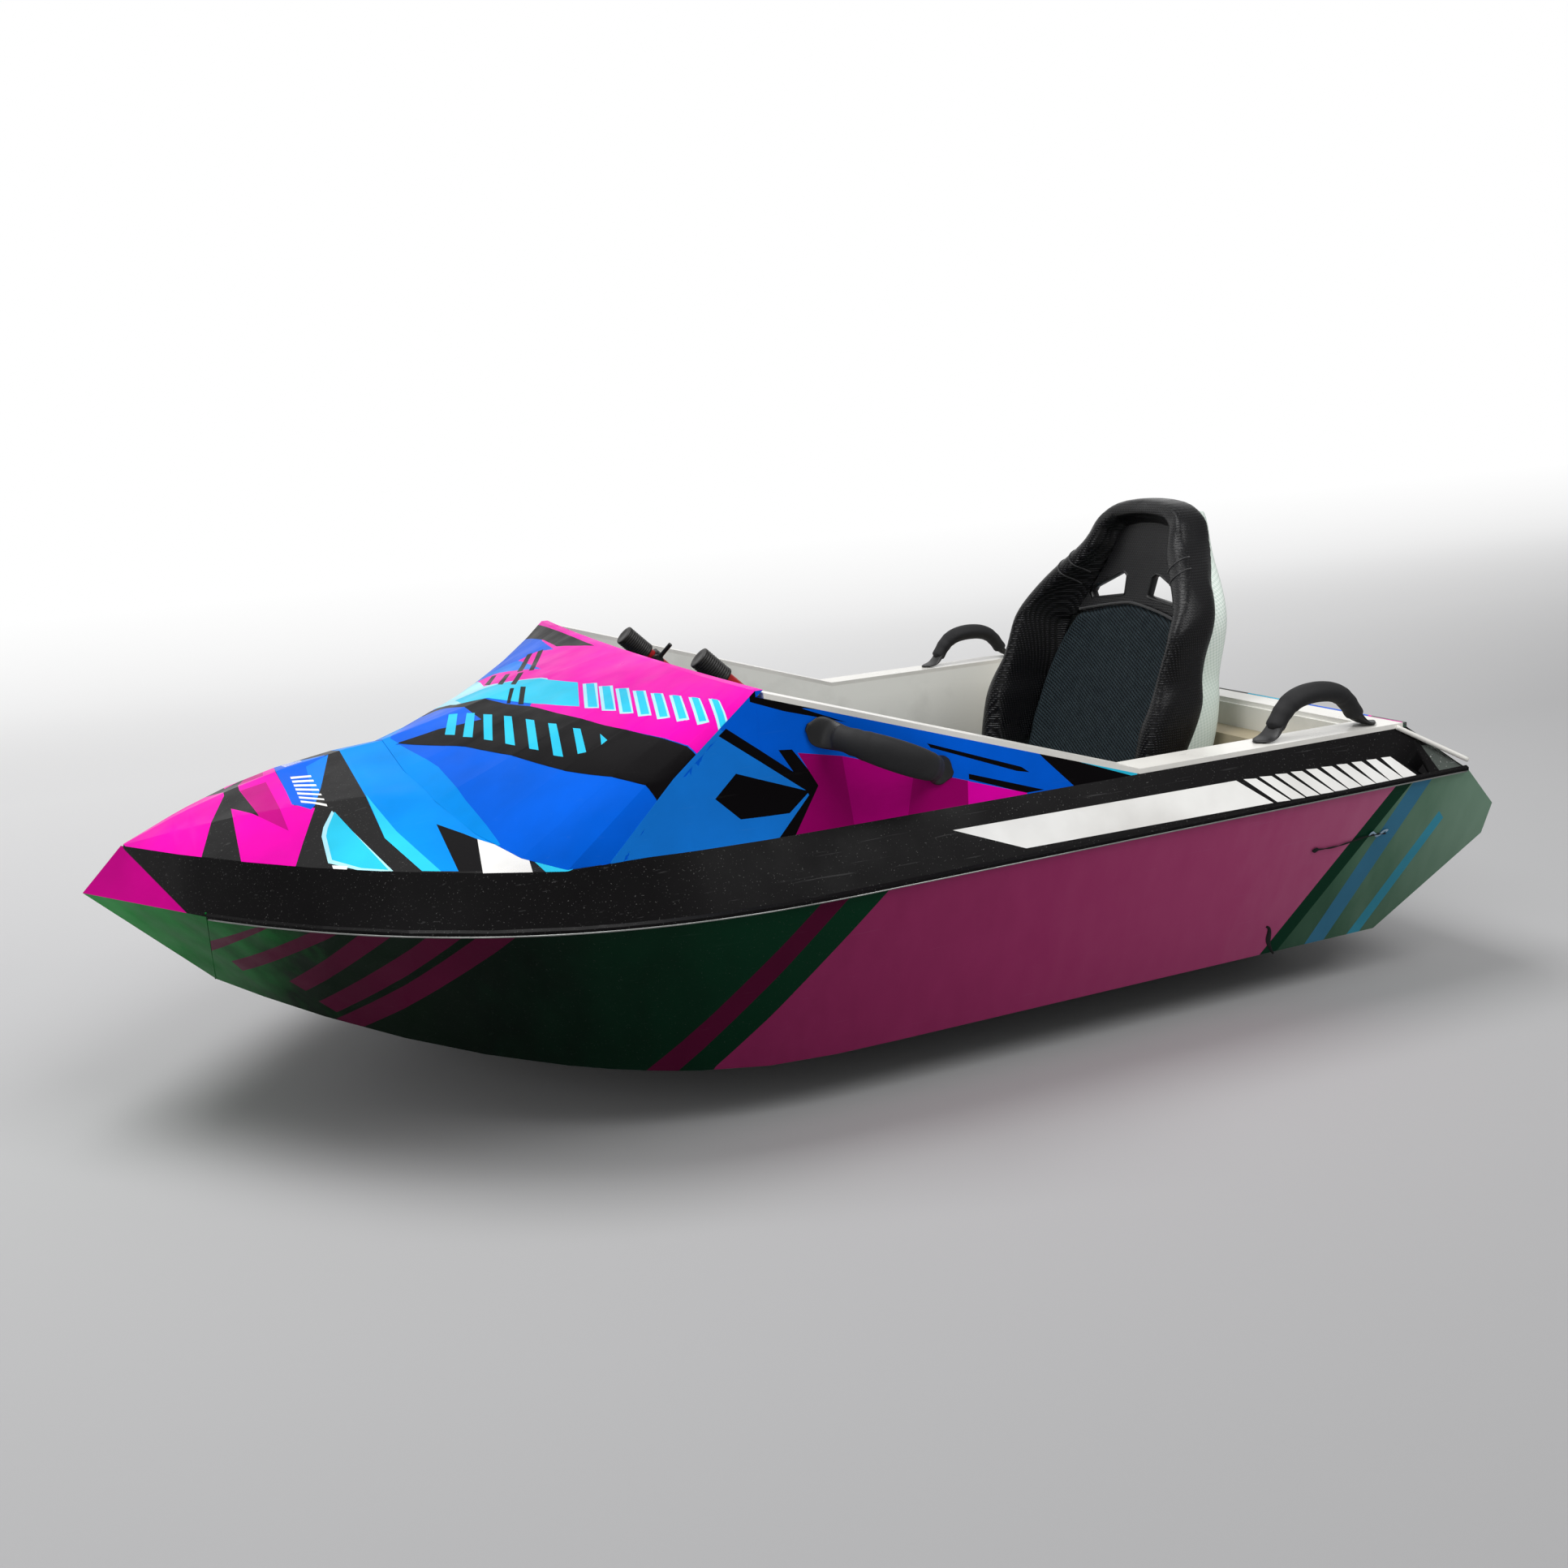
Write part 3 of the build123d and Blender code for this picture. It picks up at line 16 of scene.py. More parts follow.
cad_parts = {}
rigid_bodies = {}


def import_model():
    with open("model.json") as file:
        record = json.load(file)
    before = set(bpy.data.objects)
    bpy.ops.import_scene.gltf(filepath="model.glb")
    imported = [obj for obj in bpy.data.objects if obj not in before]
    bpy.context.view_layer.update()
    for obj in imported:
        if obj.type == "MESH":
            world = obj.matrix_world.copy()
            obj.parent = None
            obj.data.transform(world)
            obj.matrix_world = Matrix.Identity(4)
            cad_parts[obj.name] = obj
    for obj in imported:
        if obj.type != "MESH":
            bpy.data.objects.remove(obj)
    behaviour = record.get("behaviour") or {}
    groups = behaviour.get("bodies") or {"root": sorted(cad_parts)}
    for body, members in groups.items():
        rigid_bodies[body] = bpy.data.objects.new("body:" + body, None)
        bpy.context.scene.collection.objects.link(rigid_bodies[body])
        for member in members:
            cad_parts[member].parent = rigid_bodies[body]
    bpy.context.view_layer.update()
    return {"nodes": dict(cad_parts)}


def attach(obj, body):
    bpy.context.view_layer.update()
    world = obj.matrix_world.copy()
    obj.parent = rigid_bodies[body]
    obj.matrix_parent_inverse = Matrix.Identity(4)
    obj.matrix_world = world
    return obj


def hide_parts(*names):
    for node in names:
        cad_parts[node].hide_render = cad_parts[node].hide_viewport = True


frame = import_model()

MM = 0.001
FULL_TURN = 6.283
log = logging.getLogger("scene")

Pairs = Sequence[tuple[float, float]]
Socket = bpy.types.NodeSocket


# Surfaces worked out with numpy

def spline_weights(count: int, samples: int, degree: int = 3) -> np.ndarray:
    """Clamped B-spline weights: each point is a blend of the controls nearest to it.

    Args:
        count: number of control points.
        samples: number of points wanted along the curve.
        degree: degree of the blend.

    Returns:
        A samples by count matrix whose rows add up to one.
    """
    degree = min(degree, count - 1)
    knots = np.concatenate([np.zeros(degree), np.linspace(0, 1, count - degree + 1), np.ones(degree)])
    at = np.linspace(0, 1, samples)[:, None]
    at = np.minimum(at, 1 - 1e-9)
    weight = ((knots[:-1] <= at) & (at < knots[1:])).astype(float)
    for level in range(1, degree + 1):
        low, high = knots[:-level - 1], knots[level:-1]
        span = np.where(high > low, high - low, 1.0)
        rise = (at - low) / span * weight[:, :-1]
        low, high = knots[1:-level], knots[level + 1:]
        span = np.where(high > low, high - low, 1.0)
        fall = (high - at) / span * weight[:, 1:]
        weight = rise + fall
    return weight


def ring_weights(count: int, samples: int) -> np.ndarray:
    """Closed cubic B-spline weights, for a section that meets itself.

    Args:
        count: number of control points round the ring.
        samples: number of points wanted round the ring.

    Returns:
        A samples by count matrix whose rows add up to one.
    """
    at = np.arange(samples) * count / samples
    base = np.floor(at).astype(int)
    part = at - base
    blend = np.stack([(1 - part) ** 3, 3 * part ** 3 - 6 * part ** 2 + 4,
                      -3 * part ** 3 + 3 * part ** 2 + 3 * part + 1, part ** 3], 1) / 6
    weight = np.zeros((samples, count))
    for step in range(4):
        np.add.at(weight, (np.arange(samples), (base + step - 1) % count), blend[:, step])
    return weight


def unit(rows: np.ndarray) -> np.ndarray:
    """Vectors scaled to length one."""
    return rows / np.maximum(np.linalg.norm(rows, axis=-1, keepdims=True), 1e-9)


def doubled(half: np.ndarray) -> np.ndarray:
    """Half an outline that ends on its middle line, followed by its mirror image."""
    return np.concatenate([half, (half * [-1, 1])[-2::-1]])


def hermite(at: np.ndarray, xs: np.ndarray, ys: np.ndarray) -> np.ndarray:
    """Smooth curve through a table: a cubic between rows with the table's own slopes."""
    slope = np.gradient(ys, xs)
    low = np.clip(np.searchsorted(xs, at) - 1, 0, len(xs) - 2)
    span = xs[low + 1] - xs[low]
    part = (at - xs[low]) / span
    square, cube = part ** 2, part ** 3
    return (ys[low] * (2 * cube - 3 * square + 1) + ys[low + 1] * (3 * square - 2 * cube)
            + span * (slope[low] * (cube - 2 * square + part) + slope[low + 1] * (cube - square)))


def skin(points: np.ndarray, ring: bool = False, closed: bool = False) -> bpy.types.Mesh:
    """Turns a grid of points in millimetres into a mesh of four-sided faces in metres.

    Args:
        points: rows by columns by 3 array.
        ring: the last column joins the first.
        closed: the form is closed, so its normals can be made to point outwards.

    Returns:
        The mesh, with meeting points merged.
    """
    rows, columns = points.shape[:2]
    index = np.arange(rows * columns).reshape(rows, columns)
    following = np.roll(index, -1, 1) if ring else index[:, 1:]
    here = index if ring else index[:, :-1]
    faces = np.stack([here[:-1], following[:-1], following[1:], here[1:]], -1).reshape(-1, 4)
    return polygons(points.reshape(-1, 3), faces, closed)


def polygons(points: np.ndarray, faces: np.ndarray, closed: bool) -> bpy.types.Mesh:
    """Makes a merged, smooth mesh of points in millimetres and their faces."""
    mesh = bpy.data.meshes.new("surface")
    mesh.from_pydata((points * MM).tolist(), [], faces.tolist())
    work = bmesh.new()
    work.from_mesh(mesh)
    bmesh.ops.remove_doubles(work, verts=work.verts, dist=2e-6)
    bmesh.ops.dissolve_degenerate(work, edges=work.edges, dist=1e-6)
    if closed:
        bmesh.ops.recalc_face_normals(work, faces=work.faces)
    work.to_mesh(mesh)
    work.free()
    mesh.shade_smooth()
    return mesh


def frames_along(path: np.ndarray, up: np.ndarray) -> tuple[np.ndarray, np.ndarray]:
    """Side and normal at each point of a path, from a fixed upward direction."""
    along = unit(np.gradient(path, axis=0))
    side = unit(np.cross(np.broadcast_to(up, along.shape), along))
    return side, np.cross(along, side)


def swept(path: np.ndarray, wide: np.ndarray, high: np.ndarray, up: np.ndarray,
          sides: int = 20) -> np.ndarray:
    """Sweep: at each path point an ellipse with its own half-width and half-height, closed at both ends.

    Args:
        path: points by 3, in millimetres.
        wide: half-width across the path at each point.
        high: half-height along the path's normal at each point.
        up: direction that the height follows.
        sides: points round the ellipse.

    Returns:
        Grid of points, its first and last rows drawn in to the path's ends.
    """
    side, normal = frames_along(path, up)
    turn = np.linspace(0, 2 * np.pi, sides, endpoint=False)
    ring = (path[:, None] + side[:, None] * (wide[:, None] * np.cos(turn))[..., None]
            + normal[:, None] * (high[:, None] * np.sin(turn))[..., None])
    start = np.broadcast_to(path[:1, None], (1, sides, 3))
    end = np.broadcast_to(path[-1:, None], (1, sides, 3))
    return np.concatenate([start, ring, end])


def turned(profile: Pairs, start: np.ndarray, axis: np.ndarray, sides: int = 48) -> np.ndarray:
    """Turned form: a profile of (distance along the axis, radius) carried round the axis."""
    axis = unit(axis)
    side = unit(np.cross(axis, [0.3, 1.0, 0.2]))
    normal = np.cross(axis, side)
    run, radius = np.array(profile, float).T
    turn = np.linspace(0, 2 * np.pi, sides, endpoint=False)
    spoke = side * np.cos(turn)[:, None] + normal * np.sin(turn)[:, None]
    return start + axis * run[:, None, None] + spoke * radius[:, None, None]


def evaluated(piece: bpy.types.Object) -> bpy.types.Mesh:
    """The piece's mesh as its modifiers leave it."""
    graph = bpy.context.evaluated_depsgraph_get()
    graph.update()
    return bpy.data.meshes.new_from_object(piece.evaluated_get(graph))


def place(name: str, mesh: bpy.types.Mesh, finish: "Finish | None", body: str = "hull",
          slot: str | None = None, replaces: Sequence[str] = ()) -> bpy.types.Object:
    """Puts a finished mesh into the scene as a piece that rides on a body.

    Args:
        name: the piece's name.
        mesh: mesh in metres, in the object's frame.
        finish: what it is covered with, or nothing where the mesh has its own materials.
        body: CAD body that carries it.
        slot: the record's material slot; not used.
        replaces: CAD nodes that it stands for.

    Returns:
        The new object.
    """
    mesh.name = name
    piece = bpy.data.objects.new(name, mesh)
    bpy.context.scene.collection.objects.link(piece)
    if finish is not None:
        mesh.materials.clear()
        mesh.materials.append(finish.material())
    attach(piece, body)
    if replaces:
        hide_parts(*replaces)
    log.info("%s: %d faces on %s", name, len(mesh.polygons), body)
    return piece


def place_tube(name: str, grid: np.ndarray, finish: "Finish", slot: str, **extra: object) -> bpy.types.Object:
    """Places a closed form made of rings; the extra arguments are those of place."""
    return place(name, skin(grid, ring=True, closed=True), finish, slot=slot, **extra)


def add_modifier(piece: bpy.types.Object, kind: str, **settings: object) -> bpy.types.Modifier:
    """Adds a modifier and sets its fields."""
    modifier = piece.modifiers.new(kind.title(), kind)
    for key, value in settings.items():
        setattr(modifier, key, value)
    return modifier


# Finishes

def linear(tint: Sequence[float], gain: float = 1.0) -> tuple[float, float, float, float]:
    """A colour of 0 to 255 as the shader's linear values."""
    part = np.clip(np.array(tint, float) * gain / 255, 0, 1)
    value = np.where(part <= 0.04045, part / 12.92, ((part + 0.055) / 1.055) ** 2.4)
    return (*value.tolist(), 1.0)


class Tint(Enum):
    """Colours of the painted panels."""

    MAGENTA = (240, 0, 176)
    MAGENTA_SHADE = (192, 0, 130)
    MAGENTA_DEEP = (160, 0, 104)
    BLUE = (0, 98, 226)
    BLUE_SOFT = (22, 128, 232)
    AZURE = (0, 142, 236)
    CYAN = (46, 200, 236)
    PALE = (176, 232, 250)
    WHITE = (244, 242, 238)
    BLACK = (12, 10, 12)
    MAROON = (78, 10, 44)
    TEAL = (58, 142, 166)
    SLATE = (58, 116, 146)
    FOREST = (8, 52, 34)


class Recipe:
    """The node tree of one finish, built from a few plain steps."""

    def __init__(self, name: str) -> None:
        """Starts a material with its shader and its place on the object."""
        self.made = bpy.data.materials.new(name)
        self.made.use_nodes = True
        self.tree = self.made.node_tree
        self.shader = self.tree.nodes["Principled BSDF"]
        self.where = self.tree.nodes.new("ShaderNodeTexCoord").outputs["Object"]

    def node(self, kind: str, inputs: dict[str | int, object] | None = None,
             **settings: object) -> bpy.types.Node:
        """Adds a node; an input may be a number or another node's output."""
        node = self.tree.nodes.new(kind)
        for key, value in settings.items():
            setattr(node, key, value)
        for key, value in (inputs or {}).items():
            if isinstance(value, Socket):
                self.tree.links.new(value, node.inputs[key])
            else:
                node.inputs[key].default_value = value
        return node

    def constants(self, **values: float) -> None:
        """Sets numbers on the shader's own sockets, such as Coat_Weight."""
        for key, value in values.items():
            self.shader.inputs[key.replace("_", " ")].default_value = value

    def feed(self, **sockets: Socket) -> None:
        """Links patterns to the shader's sockets, such as Base_Color."""
        for key, value in sockets.items():
            self.tree.links.new(value, self.shader.inputs[key.replace("_", " ")])

    def scaled(self, scale: Sequence[float], turn: Sequence[float] = (0, 0, 0)) -> Socket:
        """Object coordinates turned and stretched."""
        inputs = {"Vector": self.where, "Scale": scale, "Rotation": turn}
        return self.node("ShaderNodeMapping", inputs).outputs[0]

    def noise(self, scale: float, detail: float = 3.0, where: Socket | None = None) -> Socket:
        """Cloudy pattern of 0 to 1."""
        inputs = {"Vector": where or self.where, "Scale": scale, "Detail": detail}
        return self.node("ShaderNodeTexNoise", inputs).outputs[0]

    def cells(self, scale: float) -> Socket:
        """Distance from the middle of small cells."""
        return self.node("ShaderNodeTexVoronoi", {"Vector": self.where, "Scale": scale}).outputs["Distance"]

    def waves(self, where: Socket, axis: str, scale: float) -> Socket:
        """Straight sine bands across one axis."""
        return self.node("ShaderNodeTexWave", {"Vector": where, "Scale": scale, "Distortion": 0.0},
                         bands_direction=axis).outputs["Fac"]

    def range(self, value: Socket, low: float, high: float, first: float, last: float) -> Socket:
        """Carries a value from low..high to first..last."""
        return self.node("ShaderNodeMapRange", {"Value": value, "From Min": low, "From Max": high,
                                                "To Min": first, "To Max": last}).outputs[0]

    def maths(self, operation: str, first: object, second: object) -> Socket:
        """One sum on two values."""
        return self.node("ShaderNodeMath", {0: first, 1: second}, operation=operation).outputs[0]

    def rows(self, across: object, rise: object, step: float) -> Socket:
        """Sine of the sum of two coordinates: straight slanting rows."""
        return self.maths("SINE", self.maths("MULTIPLY", self.maths("ADD", across, rise), step), 0.0)

    def lattice(self, across: object, rise: object, pitch: float) -> Socket:
        """Crossing slanting rows, +1 and -1 at alternate knots."""
        down = self.maths("MULTIPLY", rise, -1.0)
        step = FULL_TURN / pitch
        return self.maths("MULTIPLY", self.rows(across, rise, step), self.rows(across, down, step))

    def axis(self, name: str) -> Socket:
        """One object coordinate, in metres."""
        return self.node("ShaderNodeSeparateXYZ", {0: self.where}).outputs[name]

    def mix(self, part: object, first: object, second: object, kind: str = "MIX") -> Socket:
        """Blends two colours."""
        node = self.node("ShaderNodeMix", {0: part, 6: first, 7: second}, data_type="RGBA", blend_type=kind)
        return node.outputs[2]

    def ramp(self, value: Socket, stops: Sequence[tuple[float, Sequence[float]]]) -> Socket:
        """Colours laid along a value of 0 to 1."""
        node = self.node("ShaderNodeValToRGB", {0: value})
        band = node.color_ramp
        while len(band.elements) < len(stops):
            band.elements.new(0.5)
        for element, (at, tint) in zip(band.elements, stops):
            element.position = at
            element.color = linear(tint)
        return node.outputs[0]

    def relief(self, *layers: tuple[Socket, float, float]) -> None:
        """Stacks bumps of (height, strength, depth in metres) on the surface."""
        normal = None
        for height, strength, depth in layers:
            inputs: dict[str | int, object] = {"Height": height, "Strength": strength, "Distance": depth}
            if normal is not None:
                inputs["Normal"] = normal
            normal = self.node("ShaderNodeBump", inputs).outputs[0]
        self.feed(Normal=normal)


@dataclass(frozen=True)
class Finish:
    """A finish of one name; each kind fills in its own recipe."""

    name: str

    def material(self) -> bpy.types.Material:
        """The finish's material, made once; its prefix keeps it apart from the model's own materials."""
        title = f"finish_{self.name}"
        found = bpy.data.materials.get(title)
        if found:
            return found
        recipe = Recipe(title)
        self.fill(recipe)
        return recipe.made

    def fill(self, recipe: Recipe) -> None:
        """Sets the recipe's nodes."""
        raise NotImplementedError


@dataclass(frozen=True)
class Paint(Finish):
    """Glossy paint or film: faint mottling, fine scratches, dust and orange peel."""

    tint: tuple[int, int, int] = (200, 200, 200)
    rough: float = 0.26
    coat: float = 0.35
    mottle: float = 0.10
    scratch: float = 0.25
    speck: float = 0.0
    gloss: float = 0.3

    def base(self, recipe: Recipe) -> Socket:
        """Main colour before wear."""
        cloud = recipe.noise(5.0, 5.0)
        low, high = linear(self.tint, 1 - self.mottle), linear(self.tint, 1 + self.mottle * 0.6)
        return recipe.mix(recipe.range(cloud, 0.3, 0.7, 0.0, 1.0), low, high)

    def fill(self, recipe: Recipe) -> None:
        """Lays scratches and dust over the base, with a cloudy roughness of its own."""
        colour = self.base(recipe)
        drawn = recipe.noise(9.0, 6.0, recipe.scaled((1.0, 14.0, 26.0), (0.2, 0.5, 0.35)))
        line = recipe.range(drawn, 0.66, 0.72, 0.0, self.scratch)
        worn = linear(np.array(self.tint) * 0.6 + 90)
        colour = recipe.mix(line, colour, worn)
        if self.speck:
            dots = recipe.range(recipe.noise(420.0, 1.0), 0.70, 0.74, 0.0, self.speck)
            colour = recipe.mix(dots, colour, linear((214, 214, 210)))
        sheen = recipe.range(recipe.noise(14.0, 6.0), 0.2, 0.8, self.rough * 0.7, self.rough * 1.4)
        recipe.feed(Base_Color=colour, Roughness=sheen)
        recipe.constants(Coat_Weight=self.coat, Coat_Roughness=0.12, IOR=1.45, Specular_IOR_Level=self.gloss)
        recipe.relief((recipe.noise(260.0, 2.0), 0.05, 0.0004), (drawn, 0.04, 0.0003))


@dataclass(frozen=True)
class FadedPaint(Paint):
    """Paint whose colour changes along the hull, with painted shade towards the chine, painted light higher
    up and soft upright streaks.

    Attributes:
        stops: colours along the reach, from 0 aft to 1 forward.
        reach: aft and forward ends of the change, in metres.
        heights: lower and upper ends of the painted shade and light, in metres.
        painted_shades: brightness at those two heights, below one for painted shade and above one for painted
            light.
        streak: noise scale and the shares of the lookup's stretch along x, y and z.
        spread: noise span and how far a streak moves the colour along the reach.
    """

    stops: tuple[tuple[float, tuple[int, int, int]], ...] = ()
    reach: tuple[float, float] = (-1.1, 1.1)
    heights: tuple[float, float] = (0.08, 0.34)
    painted_shades: tuple[float, float] = (0.72, 1.08)
    streak: tuple[float, float, tuple[float, float, float], tuple[float, float, float]] = (
        3.0, 4.0, (6.0, 6.0, 0.7), (0, 0.5, 0))
    spread: tuple[float, float] = (0.2, 0.03)

    def base(self, recipe: Recipe) -> Socket:
        """Colours laid along the hull, moved a little by streaks, with painted shade lower down and painted
        light higher up.
        """
        along = recipe.range(recipe.axis("X"), *self.reach, 0.0, 1.0)
        scale, detail, stretch, turn = self.streak
        streak = recipe.noise(scale, detail, recipe.scaled(stretch, turn))
        edge, shift = self.spread
        along = recipe.maths("ADD", along, recipe.range(streak, edge, 1 - edge, -shift, shift))
        colour = recipe.ramp(along, self.stops)
        # painted shade and light: the colour is darkened towards the chine and brightened higher up, by
        # height alone
        shade = recipe.range(recipe.axis("Z"), *self.heights, *self.painted_shades)
        depth = recipe.node("ShaderNodeCombineXYZ", {0: shade, 1: shade, 2: shade}).outputs[0]
        return recipe.mix(1.0, colour, depth, "MULTIPLY")


@dataclass(frozen=True)
class CockpitPaint(Paint):
    """White inner paint with painted shade that turns it greyer towards the floor, and cloudy smudges."""

    shaded_low_tint: tuple[int, int, int] = (168, 170, 168)

    def base(self, recipe: Recipe) -> Socket:
        """White above, grey below as painted shade, with cloudy smudges."""
        # painted shade: the colour fades from the tint down to the shaded low tint towards the floor
        height = recipe.range(recipe.axis("Z"), 0.16, 0.42, 0.0, 1.0)
        colour = recipe.mix(height, linear(self.shaded_low_tint), linear(self.tint))
        smudge = recipe.range(recipe.noise(7.0, 8.0), 0.52, 0.78, 0.0, 0.35)
        return recipe.mix(smudge, colour, linear((148, 146, 138)))


@dataclass(frozen=True)
class DeckPad(Finish):
    """Moulded grey floor with small raised diamonds and trodden-in dirt."""

    tint: tuple[int, int, int] = (116, 118, 118)

    def fill(self, recipe: Recipe) -> None:
        """Raises a diamond grid and dirties it."""
        dirt = recipe.range(recipe.noise(11.0, 8.0), 0.45, 0.75, 0.0, 0.5)
        turned_place = recipe.scaled((1.0, 1.0, 1.0), (0, 0, 0.785))
        grid = recipe.maths("MULTIPLY", recipe.waves(turned_place, "X", 16.0),
                            recipe.waves(turned_place, "Y", 16.0))
        recipe.feed(Base_Color=recipe.mix(dirt, linear(self.tint), linear((84, 80, 72))),
                    Roughness=recipe.range(dirt, 0.0, 0.5, 0.55, 0.8))
        recipe.relief((grid, 0.5, 0.0012), (recipe.noise(500.0, 2.0), 0.2, 0.0002))


@dataclass(frozen=True)
class Leather(Finish):
    """Black grained hide with a fine pressed pattern, creases and a little sheen."""

    tint: tuple[int, int, int] = (6, 6, 8)
    grain: float = 300.0
    pressed: float = 0.0092

    def fill(self, recipe: Recipe) -> None:
        """Grain cells, pressed dots and soft wrinkles, shinier where it is rubbed."""
        cells = recipe.cells(self.grain)
        rubbed = recipe.range(recipe.noise(9.0, 4.0), 0.35, 0.7, 0.27, 0.40)
        tone = recipe.mix(recipe.range(cells, 0.0, 0.7, 1.0, 0.0), linear(self.tint, 0.6),
                          linear(self.tint, 1.5))
        across = recipe.maths("ADD", recipe.axis("X"), recipe.axis("Y"))
        dots = recipe.range(recipe.lattice(across, recipe.axis("Z"), self.pressed), 0.1, 0.7, 0.0, 1.0)
        tone = recipe.mix(dots, tone, linear(self.tint, 2.6))
        recipe.feed(Base_Color=tone, Roughness=rubbed)
        recipe.constants(Specular_IOR_Level=0.26)
        wrinkle = recipe.noise(38.0, 4.0, recipe.scaled((1.0, 1.0, 0.35), (0.3, 0, 0)))
        recipe.relief((dots, 0.6, 0.0012), (cells, 0.3, 0.0006), (wrinkle, 0.12, 0.002),
                      (recipe.noise(6.0, 2.0), 0.15, 0.006))


@dataclass(frozen=True)
class SpacerMesh(Finish):
    """Knitted spacer mesh: rows of small open cells with lighter yarn between them."""

    pitch: float = 0.0098

    def fill(self, recipe: Recipe) -> None:
        """Cells half a pitch apart in alternate rows, dark in their middles."""
        where = recipe.scaled((1.0, 1.0, 0.82), (0.35, 0, 0))
        across = recipe.axis("Y")
        rise = recipe.node("ShaderNodeSeparateXYZ", {0: where}).outputs["Z"]
        cell = recipe.lattice(across, rise, self.pitch)
        open_part = recipe.range(cell, -0.2, 0.55, 0.0, 1.0)
        fuzz = recipe.range(recipe.noise(60.0, 3.0), 0.3, 0.7, 0.0, 0.4)
        yarn = recipe.mix(fuzz, linear((38, 50, 56)), linear((66, 80, 86)))
        recipe.feed(Base_Color=recipe.mix(open_part, yarn, linear((5, 6, 8))),
                    Roughness=recipe.range(cell, -1.0, 1.0, 0.62, 0.85))
        recipe.constants(Specular_IOR_Level=0.15)
        recipe.relief((recipe.range(cell, -0.6, 0.6, 1.0, 0.0), 0.8, 0.0018),
                      (recipe.noise(900.0, 1.0), 0.15, 0.0002))


@dataclass(frozen=True)
class TwillShell(Finish):
    """Seat shell in grey-green woven fibre under clear resin, made pale by painted light."""

    pitch: float = 0.0105

    def fill(self, recipe: Recipe) -> None:
        """Two crossing tow directions in a checker, seen through a glossy coat; both tones carry painted
        light.
        """
        across = recipe.maths("ADD", recipe.axis("X"), recipe.axis("Y"))
        rise = recipe.axis("Z")
        step = FULL_TURN / self.pitch
        steep = recipe.maths("MULTIPLY", rise, -2.0)
        crossing = recipe.maths("MULTIPLY", recipe.rows(across, rise, step),
                                recipe.rows(across, steep, step * 0.5))
        weave = recipe.range(crossing, -0.8, 0.8, 0.0, 1.0)
        cloud = recipe.range(recipe.noise(6.0, 3.0), 0.3, 0.7, 0.0, 1.0)
        # painted light: both weave tones are raised far above the fibre's own grey-green to stand for the lit
        # shell
        light = recipe.mix(cloud, linear((226, 238, 230)), linear((242, 250, 244)))
        recipe.feed(Base_Color=recipe.mix(weave, linear((204, 220, 210)), light),
                    Roughness=recipe.range(weave, 0.0, 1.0, 0.28, 0.42))
        recipe.constants(Coat_Weight=0.4, Coat_Roughness=0.1)
        recipe.relief((weave, 0.25, 0.0003), (recipe.noise(5.0, 2.0), 0.1, 0.003))


@dataclass(frozen=True)
class Rubber(Finish):
    """Black rubber or foam sleeve: fine pores, faint dust on raised parts."""

    tint: tuple[int, int, int] = (26, 26, 28)
    rough: float = 0.62
    pore: float = 700.0

    def fill(self, recipe: Recipe) -> None:
        """Pores and dust, in colour and relief."""
        dust = recipe.range(recipe.noise(16.0, 7.0), 0.5, 0.8, 0.0, 0.35)
        colour = recipe.mix(dust, linear(self.tint), linear(np.array(self.tint) * 0.8 + 22))
        recipe.feed(Base_Color=colour, Roughness=recipe.range(dust, 0.0, 0.35, self.rough,
                                                              min(self.rough + 0.18, 1.0)))
        recipe.relief((recipe.cells(self.pore), 0.25, 0.0004), (recipe.noise(30.0, 5.0), 0.1, 0.0015))


@dataclass(frozen=True)
class Metal(Finish):
    """Bare metal: cast, brushed or polished, with stains and scuffs."""

    tint: tuple[int, int, int] = (176, 178, 180)
    rough: float = 0.35
    brushed: bool = False
    pitted: float = 0.3

    def fill(self, recipe: Recipe) -> None:
        """Stains, brushing or casting pits."""
        stain = recipe.range(recipe.noise(13.0, 8.0), 0.48, 0.75, 0.0, 0.6)
        recipe.feed(Base_Color=recipe.mix(stain, linear(self.tint), linear(np.array(self.tint) * 0.6)),
                    Roughness=recipe.range(stain, 0.0, 0.6, self.rough, self.rough + 0.22))
        recipe.constants(Metallic=1.0)
        if self.brushed:
            grain = recipe.noise(90.0, 4.0, recipe.scaled((0.4, 9.0, 9.0)))
        else:
            grain = recipe.noise(320.0, 5.0)
        recipe.relief((grain, self.pitted, 0.0004))


@dataclass(frozen=True)
class Thread(Finish):
    """Twisted sewing thread."""

    tint: tuple[int, int, int] = (38, 38, 40)

    def fill(self, recipe: Recipe) -> None:
        """Slanting strands in tone and relief."""
        strand = recipe.waves(recipe.scaled((1.0, 1.0, 1.0), (0.6, 0.4, 0.2)), "X", 900.0)
        recipe.feed(Base_Color=recipe.mix(strand, linear(self.tint, 0.7), linear(self.tint, 1.2)))
        recipe.constants(Roughness=0.7, Sheen_Weight=0.3)
        recipe.relief((strand, 0.4, 0.0002))


def film(tint: Tint) -> Paint:
    """The film or paint of one of the livery's colours."""
    return Paint(f"film_{tint.name.lower()}", tint.value, rough=0.36, coat=0.0, scratch=0.05, gloss=0.04)


